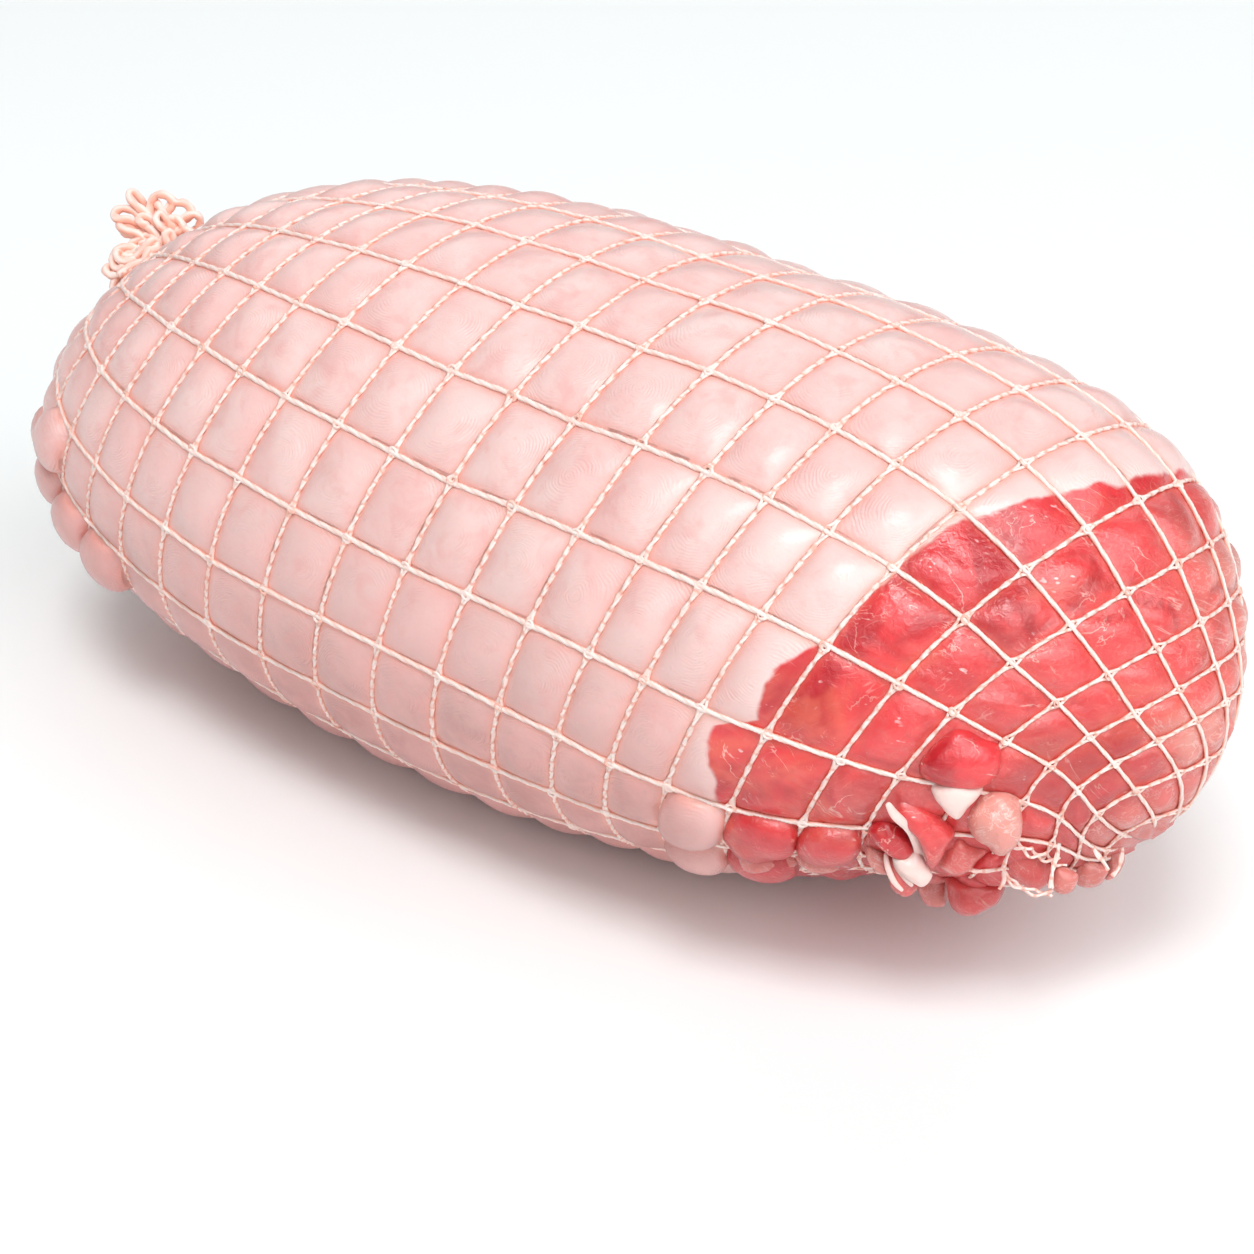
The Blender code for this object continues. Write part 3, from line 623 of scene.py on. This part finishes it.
def smooth_path(points, count, closed=False):
    """Even points on a smooth line through the given ones."""
    points = np.asarray(points, float)
    if closed:
        held = np.vstack([points[-1], points, points[:2]])
    else:
        held = np.vstack([2 * points[0] - points[1], points, 2 * points[-1] - points[-2]])
    path = []
    for t in np.linspace(0, len(held) - 3.0001, count * 4):
        k, u = int(t), t - int(t)
        a, b, c, d = held[k:k + 4]
        bow, twist = 2 * a - 5 * b + 4 * c - d, 3 * b - a - 3 * c + d
        path.append(0.5 * (2 * b + (c - a) * u + bow * u ** 2 + twist * u ** 3))
    path = np.array(path)
    run = np.append(0, np.cumsum(np.linalg.norm(np.diff(path, axis=0), axis=1)))
    even = np.linspace(0, run[-1], count + closed)[:count]
    return np.stack([np.interp(even, run, path[:, k]) for k in range(path.shape[1])], -1)


def pad_points(centre, facing, front, behind, outline, seed):
    """Rounded pad inside an outline: rows from the middle of its back to the middle of its front."""
    facing = unit(np.array(facing))
    across = unit(np.cross((0, 0, 1), facing))
    rise = np.cross(facing, across)
    rim = smooth_path(outline, PAD_SIDES, closed=True)
    tilt = np.radians(np.linspace(-86, 86, 2 * PAD_RINGS + 1))
    reach = np.cos(tilt) ** 0.72
    swell = np.where(tilt > 0, front, behind) * np.sign(tilt) * np.abs(np.sin(tilt)) ** 1.1
    spots = np.array(centre) + reach[:, None, None] * (rim[:, :1] * across + rim[:, 1:] * rise)[None]
    spots += swell[:, None, None] * facing
    uneven = 0.55 * lumps(spots * MM, 4 * MM, seed) + 0.10 * lumps(spots * MM, 1.5 * MM, seed + 40)
    return (spots + unit(spots - np.array(centre)) * uneven[..., None]) * MM


def strip_points(points, widths, flatness, blunt, seed):
    """Rounded strip swept along a path that ends inside its own rounded tips."""
    middle = smooth_path(points, 60)
    t = 0.5 - 0.5 * np.cos(np.linspace(0.06, math.pi - 0.06, STRIP_ROWS))
    centre = np.stack([np.interp(t, np.linspace(0, 1, 60), middle[:, k]) for k in range(3)], -1)
    ahead = unit(np.gradient(centre, axis=0))
    outward = np.array(to_camera)
    face = unit(outward - ahead * (ahead @ outward)[:, None])
    across = np.cross(ahead, face)
    width = np.interp(t, np.linspace(0, 1, len(widths)), widths)
    width = width * (1 - np.abs(2 * t - 1) ** blunt) ** (1 / blunt)
    turn = np.linspace(0, 2 * math.pi, STRIP_SIDES + 1)[:-1]
    ring = across[:, None] * np.cos(turn)[None, :, None] + face[:, None] * (flatness * np.sin(turn))[None, :, None]
    spots = centre[:, None] + ring * width[:, None, None]
    uneven = 0.22 * lumps(spots * MM, 3 * MM, seed) * width[:, None]
    return (spots + unit(ring) * uneven[..., None]) * MM


def build_lobes():
    pieces = [(pad_points(*shape, outline, seed + 1), fat, pale)
              for seed, (name, *shape, fat, pale, outline) in enumerate(PADS)]
    pieces += [(strip_points(*shape, seed + 31), fat, pale)
               for seed, (name, *shape, fat, pale) in enumerate(STRIPS)]
    verts, faces, rows = [], [], []
    for spots, fat, pale in pieces:
        spots[..., 2] = np.maximum(spots[..., 2], LOBE_REST)
        first, count = len(verts), spots.shape[0] * spots.shape[1]
        index = first + np.arange(count).reshape(spots.shape[:2])
        verts += spots.reshape(-1, 3).tolist()
        faces += bands(index) + [tuple(map(int, index[0][::-1])), tuple(map(int, index[-1]))]
        folds = lumps(spots, 5 * MM, first + 80).ravel()
        # Dark lines on the lobes: painted crease shade, kept in the crease field, with no crease in the lobes' shape.
        crease_shade_lines = np.clip(0.35 - np.abs(folds) * 4, 0, 1) * (1 - fat) * 0.35
        rows.append([np.full(count, 6 - 8 * fat), np.zeros(count), crease_shade_lines, np.full(count, pale), np.zeros(count)])
    fields = dict(zip(("past_rind", "cord_gap", "crease", "paleness", "cord_side_shade"), np.hstack(rows)))
    return meat_piece("cut_lobes", verts, faces, fields)


cut_lobes = build_lobes()
cut_lobes.data.materials.append(meat.data.materials[0])
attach(cut_lobes, "root")

# Net
# One knitted tube of elastic cord. Thin two ply cord is wound round the roll
# and a thicker covered elastic runs along it, knotted wherever they cross.
PLY_HALF = 0.46 * MM
PLY_APART = 0.15 * MM
PLY_TURN = 3.4 * MM
PLY_STEPS = 24
PLY_FLATNESS = 0.10
PLY_TWIST = 120.0
EYE_HALF = 0.62 * MM
EYE_LENGTH = 0.90 * MM
STRAND_HALF = 0.60 * MM
STRAND_FLATNESS = 0.09
STRAND_TWIST = 150.0
CORD_LIFT = 0.16 * MM
CORD_STEP = 0.7 * MM
SLACK_STEP = 0.4 * MM
SLACK_THICKNESS = 0.68
BEAD_LENGTH = 2.6 * MM
KNOT_RING_HALF = 0.72 * MM
KNOT_CORD_HALF = 0.30 * MM
RIGHT_HOOPS_FROM = 9


def geometry_tree(name, kinds):
    """A tree that changes one geometry, its other inputs by name, and the key of each input."""
    tree = bpy.data.node_groups.new(name, "GeometryNodeTree")
    tree.interface.new_socket("Geometry", in_out="OUTPUT", socket_type="NodeSocketGeometry")
    keys = {key: tree.interface.new_socket(key, in_out="INPUT", socket_type="NodeSocket" + kind).identifier
            for key, kind in {"Geometry": "Geometry", "Material": "Material", **kinds}.items()}
    g = Nodes(tree)
    return g, g.node("NodeGroupInput").outputs, keys


def end_tree(g, shape, material):
    """Ends a tree: its instances made real, shaded smooth and given their material."""
    shape = g.first("GeometryNodeRealizeInstances", {"Geometry": shape})
    shape = g.first("GeometryNodeSetShadeSmooth", {"Geometry": shape})
    shape = g.first("GeometryNodeSetMaterial", {"Geometry": shape, "Material": material})
    g.node("NodeGroupOutput", {"Geometry": shape})


def mark(g, shape, name, value, kind="FLOAT_VECTOR"):
    return g.first("GeometryNodeStoreNamedAttribute", {"Geometry": shape, "Name": name, "Value": value},
                   data_type=kind, domain="POINT")


def marked(g, name, kind="FLOAT_VECTOR"):
    return g.node("GeometryNodeInputNamedAttribute", {"Name": name}, data_type=kind).outputs["Attribute"]


def cord_tree():
    """Turns a mesh of edges into a wound cord."""
    g, given, keys = geometry_tree("wound_cord", {"Half Width": "Float", "Flatness": "Float", "Twist": "Float",
                                                  "Step": "Float", "Sides": "Int"})
    spot = g.first("GeometryNodeInputPosition")
    run = g.node("GeometryNodeSplineParameter").outputs["Length"]
    path = g.first("GeometryNodeMeshToCurve", {"Mesh": given["Geometry"]})
    path = g.first("GeometryNodeResampleCurve", {"Curve": path, "Length": given["Step"]}, mode="LENGTH")
    tilt = g.times(g.times(run, given["Twist"]), 2 * math.pi)
    path = g.first("GeometryNodeSetCurveTilt", {"Curve": path, "Tilt": tilt})
    path = mark(g, mark(g, path, "run", run, "FLOAT"), "middle_of_cord", spot)

    circle = g.first("GeometryNodeCurvePrimitiveCircle", {"Resolution": given["Sides"], "Radius": 1})
    circle = mark(g, circle, "side_of_cord", spot)
    parts = g.node("ShaderNodeSeparateXYZ", {0: spot}).outputs
    wide = g.minus(g.times(parts["X"], parts["X"]), g.times(parts["Y"], parts["Y"]))
    pinch = g.minus(g.times(g.minus(wide, 1), given["Flatness"]), -1)
    half = g.times(pinch, given["Half Width"])
    rim = g.first("ShaderNodeVectorMath", {0: spot, "Scale": half}, operation="SCALE")
    section = g.first("GeometryNodeSetPosition", {"Geometry": circle, "Position": rim})
    skin = g.first("GeometryNodeCurveToMesh", {"Curve": path, "Profile Curve": section, "Fill Caps": True,
                                               "Scale": marked(g, "thickness", "FLOAT")})
    end_tree(g, skin, given["Material"])
    return g.tree, keys


def solid_from_nodes(name, start, tree, keys, values):
    """Runs a node tree on a mesh and keeps the plain mesh that it gives."""
    carrier = add(name, start)
    mod = carrier.modifiers.new("nodes", "NODES")
    mod.node_group = tree
    for key, value in values.items():
        mod[keys[key]] = value
    bpy.context.view_layer.update()
    made = bpy.data.meshes.new_from_object(carrier.evaluated_get(bpy.context.evaluated_depsgraph_get()))
    made.name = name
    bpy.data.objects.remove(carrier)
    return outward_piece(name, made)


def edge_mesh(name, paths):
    """Mesh of edges from (points, closed, outward, thickness) rows."""
    verts, edges, ways, sizes = [], [], [], []
    for path, closed, outward, thickness in paths:
        first = len(verts)
        verts += path.tolist()
        ways.append(np.broadcast_to(outward, path.shape))
        sizes.append(np.broadcast_to(thickness, len(path)))
        edges += [(k, k + 1) for k in range(first, len(verts) - 1)]
        if closed:
            edges.append((len(verts) - 1, first))
    mesh = bpy.data.meshes.new(name)
    mesh.from_pydata(verts, edges, [])
    keep(mesh, "outward", np.concatenate(ways))
    keep(mesh, "thickness", np.concatenate(sizes))
    return mesh


def mark_under(mesh, half):
    """Keeps how far each point of a cord faces the meat, from 0 to 1, and drops what it came from."""
    def read(data, slot, size):
        values = np.zeros(len(mesh.vertices) * size, np.float32)
        data.foreach_get(slot, values)
        return values.reshape(-1, size)

    layers = mesh.attributes
    off_middle = read(mesh.vertices, "co", 3) - read(layers["middle_of_cord"].data, "vector", 3)
    outward = unit(read(layers["outward"].data, "vector", 3))
    rise = (off_middle * outward).sum(-1) / (half * read(layers["thickness"].data, "value", 1)[:, 0])
    keep(mesh, "under", np.clip(0.5 - 0.5 * rise, 0, 1))
    for name in ("middle_of_cord", "outward", "thickness"):
        layers.remove(layers[name])


def cord(name, paths, half, flatness, twist, mat, step=CORD_STEP, sides=6):
    """One piece of wound cord along the given paths."""
    piece = solid_from_nodes(name, edge_mesh(name, paths), *wound_cord, {
        "Half Width": half, "Flatness": flatness, "Twist": twist, "Step": step, "Sides": sides, "Material": mat})
    mark_under(piece.data, half)
    return piece


def stretched(ring):
    """How thin the cord is pulled at the wide mouth of the net, from one down."""
    return 1 - 0.32 * np.clip((ring - 12) / 5, 0, 1)


def ply_paths(first, last):
    """Two plies for each hoop, twisted together and parted round each strand."""
    paths = []
    rng = np.random.default_rng(5)
    for ring in range(first, last + 1):
        turn = np.linspace(0, STRANDS, STRANDS * PLY_STEPS + 1)[:-1]
        at = np.full_like(turn, ring)
        point, along, around, normal = surface_frame(at, turn)
        width = np.linalg.norm(around, axis=-1)
        cell = np.floor(turn + 1e-9).astype(int)
        t = turn - cell
        cell_width = np.array([width[cell == k].mean() for k in range(STRANDS)])
        half_turns = np.maximum(1, np.round(cell_width / PLY_TURN * rng.uniform(0.85, 1.15, STRANDS)))[cell]
        flip = np.append(0, np.cumsum(np.maximum(1, half_turns[::PLY_STEPS])))[:-1][cell]
        eased = np.clip((t - 0.10) / 0.80, 0, 1)
        phase = math.pi * (half_turns * eased + flip)
        from_strand = np.minimum(t, 1 - t) * width
        eye = np.minimum(EYE_HALF, 0.07 * np.linalg.norm(along, axis=-1))
        apart = PLY_APART * stretched(ring)
        apart = apart + (eye - apart) * np.exp(-(from_strand / EYE_LENGTH) ** 2)
        drift = 0.12 * MM * np.sin(turn * 1.7 + ring) * np.sin(math.pi * t) ** 2
        for sign in (1, -1):
            shift = unit(along) * (sign * apart * np.cos(phase) + drift)[:, None]
            shift += normal * (sign * PLY_APART * stretched(ring) * np.sin(phase) + CORD_LIFT)[:, None]
            path = point + shift
            path[:, 2] = np.maximum(path[:, 2], 0.5 * MM)
            closes = int(half_turns[::PLY_STEPS].sum()) % 2 == 0
            paths.append((path, closes, normal, stretched(ring)))
    return paths


def strand_paths():
    """Strands that kink a little to one side at each knot and sink into the meat at the mouth of the net."""
    ring = np.linspace(FIRST_RING, LAST_RING + 0.70, 420)
    sinks = np.clip((ring - LAST_RING - 0.1) / 0.5, 0, 1)
    lift = (CORD_LIFT + 0.05 * MM - 1.2 * MM * sinks)[:, None]
    rng = np.random.default_rng(23)
    paths = []
    for strand in range(STRANDS):
        kinks = rng.uniform(-0.022, 0.022, LAST_RING - FIRST_RING + 2)
        aside = np.interp(ring, np.arange(FIRST_RING, LAST_RING + 2), kinks)
        point, along, around, normal = surface_frame(ring, strand + aside)
        path = point + normal * lift
        path[:, 2] = np.maximum(path[:, 2], 0.75 * MM)
        paths.append((path, False, normal, stretched(ring)))
    return paths


def cord_finish(name, pale, warm, wind, bead=None):
    """Two wound plies with painted warm shade in their grooves, painted shade in the slits between the beads of a
    covered cord, and painted warm shade on the side facing the meat.
    """
    f = Finish(name)
    here = f.place()
    run = f.field("run")
    section = f.node("ShaderNodeSeparateXYZ", {0: f.field("side_of_cord", "Vector")}).outputs
    valley = f.times(section["Y"], section["Y"])
    phase = f.times(run, wind)
    weave = f.plus(f.times(f.sums("SINE", phase), section["X"]), f.times(f.sums("COSINE", phase), section["Y"]))
    stain = f.ramp(f.grain(here, 190, 3, 0.6), 0.42, 0.68)
    # Painted shade: warm colour in the grooves between plies; the stain is the cord's own tint.
    colour = f.layers(pale, (f.times(f.ramp(valley, 0.45, 1), 0.45), warm), (f.times(stain, 0.25), warm))
    if bead:
        turns = f.plus(f.times(run, math.pi / bead), f.times(f.grain(here, 150), 6))
        # Painted shade in the slits between the beads.
        slit = f.ramp(f.sums("ABSOLUTE", f.sums("SINE", turns)), 0.08, 0.55, 0.80, 0)
        colour = f.mix(slit, colour, (0.88, 0.42, 0.32))
    # Painted warm shade on the side of the cord that faces the meat.
    colour = f.mix(f.times(f.ramp(f.field("under"), 0.22, 0.52), 0.9), colour, warm)
    height = f.plus(f.times(weave, 0.6), f.times(f.grain(here, 2600, 2, 0.6), 0.5))
    f.surface(Base_Color=colour, Normal=f.relief(height, 0.00009), Roughness=0.62, Subsurface_Weight=0)
    return f.mat


wound_cord = cord_tree()
hoop_mat = cord_finish("hoop_cord", (0.98, 0.84, 0.79), (0.95, 0.46, 0.36), 2400, BEAD_LENGTH)
strand_mat = cord_finish("strand_cord", (0.98, 0.85, 0.80), (0.97, 0.50, 0.39), 1900)

# Slack ends of cord at the cut, in millimetres: how thick, points along it.
LOOSE_ENDS = [
    (0.95, [(111, -31.6, 38.5), (112.2, -30.6, 37.5), (113.2, -28.9, 35.9), (114.1, -27.1, 34.8), (115, -24.5, 33),
     (115.6, -22.1, 31.2)]),
    (0.8, [(109.8, -31.8, 33.1), (110.7, -32, 31.8), (112, -31.6, 30.8), (113.7, -30.8, 30), (115.4, -29.8, 29.5),
     (117.1, -28.2, 29.4)]),
    (0.6, [(114.8, -23.7, 38), (115.6, -24.6, 36.6), (116, -25.6, 35), (116.2, -27, 33.3), (116.6, -28, 31.7),
     (117, -28.7, 30.6)]),
    (0.55, [(105.2, -35.4, 33), (106.6, -34.9, 32.8), (108.2, -33.9, 33), (109.9, -32, 33.3)]),
    (0.5, [(110.3, -31.3, 36.4), (110.4, -32.3, 35.2), (110.6, -33.3, 34.3)]),
    (0.5, [(110.1, -32.3, 32.7), (110.7, -32.9, 31.7), (110.5, -33.9, 30.4)]),
    (0.55, [(117.2, -18.6, 36.1), (118.5, -19, 34.9), (119.7, -19.2, 33.6), (121, -19, 32.3), (122, -19, 31.1)]),
    (0.55, [(120.3, -12.3, 33.2), (121.3, -13.1, 31.3), (121.7, -14.4, 29.3), (121.3, -15.8, 27.9)])]


def loose_paths():
    """Each slack end as two plies wound round one another, thicker where it is knotted."""
    paths = []
    for seed, (half, points) in enumerate(LOOSE_ENDS):
        middle = smooth_path(points, 60)
        run = np.append(0, np.cumsum(np.linalg.norm(np.diff(middle, axis=0), axis=1)))
        ahead = unit(np.gradient(middle, axis=0))
        side_way = unit(np.cross(ahead, unit(np.array(to_camera))))
        face = np.cross(side_way, ahead)
        apart = (half - 0.42) * (1 + 0.5 * np.sin(run * 1.9 + seed))
        phase = run * 0.85 + seed
        off = side_way * (apart * np.cos(phase))[:, None] + face * (apart * np.sin(phase))[:, None]
        paths += [((middle + sign * off) * MM, False, face, SLACK_THICKNESS) for sign in (1, -1)]
    return paths


net_pieces = [
    cord("net_hoops_left", ply_paths(FIRST_RING, RIGHT_HOOPS_FROM - 1), PLY_HALF, PLY_FLATNESS, PLY_TWIST, hoop_mat),
    cord("net_hoops_right", ply_paths(RIGHT_HOOPS_FROM, LAST_RING), PLY_HALF, PLY_FLATNESS, PLY_TWIST, hoop_mat),
    cord("net_strands", strand_paths(), STRAND_HALF, STRAND_FLATNESS, STRAND_TWIST, strand_mat, sides=8),
    cord("net_loose_ends", loose_paths(), PLY_HALF, PLY_FLATNESS, PLY_TWIST, hoop_mat, SLACK_STEP, 8)]


def knot_tree():
    """Sets one small ring of cord on each point, turned along the net."""
    g, given, keys = geometry_tree("net_knots", {"Ring Half": "Float", "Cord Half": "Float"})
    circle = "GeometryNodeCurvePrimitiveCircle"
    ring = g.first(circle, {"Resolution": 10, "Radius": given["Ring Half"]})
    section = g.first(circle, {"Resolution": 5, "Radius": given["Cord Half"]})
    loop = g.first("GeometryNodeCurveToMesh", {"Curve": ring, "Profile Curve": section})
    knots = g.first("GeometryNodeInstanceOnPoints", {"Points": given["Geometry"], "Instance": loop,
                                                     "Rotation": marked(g, "turn"), "Scale": marked(g, "size")})
    end_tree(g, knots, given["Material"])
    return g.tree, keys


def knot_points():
    """A point for each crossing with its turn and size."""
    ring, strand = np.meshgrid(np.arange(FIRST_RING + 1, LAST_RING + 1), np.arange(STRANDS), indexing="ij")
    ring, strand = ring.ravel().astype(float), strand.ravel().astype(float)
    point, along, around, normal = surface_frame(ring, strand)
    rng = np.random.default_rng(17)
    spots, turns, sizes = [], [], []
    for k in range(len(ring)):
        a, n = Vector(unit(along)[k]), Vector(normal[k])
        side_way = n.cross(a).normalized()
        a = side_way.cross(n)
        spin = Matrix.Rotation(rng.uniform(-0.5, 0.5), 3, n)
        tip = Matrix.Rotation(rng.uniform(-0.45, 0.45), 3, a)
        axes = tip @ spin @ Matrix((a, side_way, n)).transposed()
        shift = a * rng.uniform(-0.35, 0.35) * MM + side_way * rng.uniform(-0.2, 0.2) * MM
        spot = Vector(point[k]) + n * (CORD_LIFT + KNOT_CORD_HALF) + shift
        spot.z = max(spot.z, 1.4 * MM)
        grow = rng.uniform(0.75, 1.05) * min(1, np.linalg.norm(around[k]) / (9 * MM)) * stretched(ring[k])
        spots.append(spot)
        turns.append(axes.to_euler())
        sizes.append((1.25 * grow, 0.95 * grow, grow))
    mesh = bpy.data.meshes.new("net_knots")
    mesh.from_pydata(spots, [], [])
    keep(mesh, "turn", turns)
    keep(mesh, "size", sizes)
    return mesh


net_pieces.append(solid_from_nodes("net_knots", knot_points(), *knot_tree(), {
    "Ring Half": KNOT_RING_HALF, "Cord Half": KNOT_CORD_HALF, "Material": hoop_mat}))
for piece in net_pieces:
    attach(piece, "root")
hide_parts("net")

# Tail of the net
# At the left end the net is gathered, and its slack cord curls up in thick
# springy loops of the same elastic. Each loop starts and ends in the neck.
TAIL_HALF = 0.92 * MM
TAIL_FLATNESS = 0.05
TAIL_TWIST = 60.0
TAIL_STEP = 0.5 * MM
TAIL_SIDES = 12
TAIL_FOOT = np.array((-116.1, -3.2, 72.3))
TAIL_LOOPS = [
    [(-120.5, 0, 80.2), (-123, 0.4, 83.5), (-124.4, -0.3, 86.3), (-125.8, -1, 88), (-126, -2.2, 88),
     (-124.7, -2.9, 87.1), (-123.2, -2.5, 85.8), (-121.8, -1.6, 84.6), (-120.5, -1.1, 82.7), (-119.6, -1, 80.7)],
    [(-119.7, -0.7, 80.1), (-121.4, -2, 82.3), (-123.9, -2.6, 84.4), (-125.8, -3.6, 85.2), (-127, -4.8, 85),
     (-127, -6, 84.2), (-125.3, -6.4, 83.8), (-124.2, -4.9, 83.5), (-122.9, -3.2, 82.3), (-121.1, -1.6, 80.5)],
    [(-120.6, -0.5, 79.4), (-122.7, -1.3, 80.7), (-124.8, -2.7, 81.1), (-125.9, -4.3, 81.1), (-125.2, -5.5, 80.8),
     (-123.5, -5.1, 80.3), (-121.7, -3.6, 80.4), (-120.7, -1.5, 80.1)],
    [(-119.6, -1, 80.7), (-120.9, -1, 83.3), (-122, -0.2, 85.9), (-121.4, 0.9, 87.7), (-119.8, 1.7, 88.2),
     (-118.2, 2.4, 87.3), (-117.9, 2.5, 86.1), (-118.8, 1.4, 84.4), (-118.9, 0.2, 82.7), (-118.7, -1, 80.7)],
    [(-122.1, 1.3, 85.9), (-119.9, 0.6, 85.5), (-117.5, 0, 84), (-116.6, 0, 81.9), (-116.8, 0.1, 80.1)],
    [(-118.7, 2.7, 86.3), (-117, 2.9, 86.6), (-115.7, 3.7, 86.7), (-114.6, 4.2, 85.7), (-114.2, 4.3, 84.4),
     (-115.3, 3.5, 83.3), (-116.1, 2.2, 82.3), (-116.7, 1.1, 80.3)],
    [(-116.9, 1.2, 79.8), (-116.3, 2, 82.3), (-114.7, 3, 84), (-113.2, 4.3, 84.6), (-112.6, 5, 83.4),
     (-113.1, 5, 81.8), (-114.2, 4.8, 80.7)],
    [(-116.2, -1.5, 81.4), (-116.9, -2.4, 83), (-118, -2.4, 84.3), (-118.1, -1.1, 85.2), (-117.1, -0.4, 84),
     (-116.2, 0.2, 81.8), (-117.1, -0.3, 79.9)],
    [(-119.9, -5.2, 76), (-121, -5.7, 77.7), (-122.2, -6.8, 78.4), (-123.6, -8.1, 78.2), (-124.2, -9.3, 77.1),
     (-123.9, -10.1, 75.6), (-122.6, -10.4, 74.7), (-121, -9.6, 75.1), (-120.8, -7.6, 75.6), (-120.3, -6, 75.3)],
    [(-120.5, -6.7, 75.5), (-120.6, -9, 74.3), (-121.3, -10.9, 73.6), (-122.6, -12, 73.5), (-123.8, -12.2, 74.1),
     (-124.7, -11.5, 74.4), (-124.8, -10.2, 74.4), (-123.6, -9.7, 73.8)],
    [(-121.5, -9.4, 73.8), (-122, -11.3, 72.7), (-122, -12.2, 71.4), (-121.7, -11.7, 70.6), (-121, -10.6, 71.5),
     (-120.7, -9.3, 73)],
    [(-122.8, -6, 78.3), (-121.5, -4.8, 79.5), (-119.8, -3.4, 80.6), (-117.9, -3.7, 80.1), (-118.6, -5.2, 78.8),
     (-120.4, -6, 77.5)],
    [(-120.6, -7.4, 75.6), (-119.3, -6.4, 77.8), (-118, -4.8, 79.7), (-117.6, -3.5, 80.1), (-117, -3.3, 78.6),
     (-117.4, -3.5, 76.6)],
    [(-117, -5.2, 76.7), (-117.4, -7.8, 75.6), (-117.7, -10.4, 74.3), (-117.6, -12.6, 73), (-117, -14.4, 71.7)]]


def tail_paths():
    """The loops, with both ends of each led down into the neck, and the gathered cords of the neck."""
    paths = []
    neck = TAIL_FOOT + np.array((-1.5, -0.5, 4.5))
    loops = [np.array(loop) for loop in TAIL_LOOPS]
    for k, loop in enumerate(loops[:]):
        turn = np.array(Matrix.Rotation(0.42 * (-1) ** k, 3, to_camera))
        loops.append(neck + (loop - neck) @ turn.T * 0.74 - np.array((-0.6, 0.7, 0.4)))
    for spots in loops:
        ends = [end + (neck - end) * 0.45 for end in (spots[0], spots[-1])]
        path = smooth_path(np.vstack([[neck, ends[0]], spots, [ends[1], neck]]), 70) * MM
        lumpy = 1 + 0.10 * np.sin(np.arange(len(path)) * 1.15)
        paths.append((path, False, unit(path - path.mean(0) + (0, 0, 4 * MM)), lumpy))
    for strand in range(0, STRANDS, 2):
        turn = 2 * math.pi * strand / STRANDS
        rim = net_surface(FIRST_RING + 0.4, strand) / MM
        top = TAIL_FOOT + np.array((-1 + 1.3 * math.cos(turn), -0.5 + 1.3 * math.sin(turn), 3.5))
        over = 0.5 * (rim + top) + np.array((-1.2, 0, 1))
        path = smooth_path([rim, over, top, top + (-1, 0, 2.5)], 24) * MM
        paths.append((path, False, unit(path - TAIL_FOOT * MM + (0, 0, 1 * MM)), 1))
    return paths


tail_mat = cord_finish("tail_cord", (0.97, 0.79, 0.73), (0.93, 0.47, 0.35), 1500)
tail = cord("gathered_tail", tail_paths(), TAIL_HALF, TAIL_FLATNESS, TAIL_TWIST, tail_mat, TAIL_STEP, TAIL_SIDES)
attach(tail, "root")
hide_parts("net_tail")
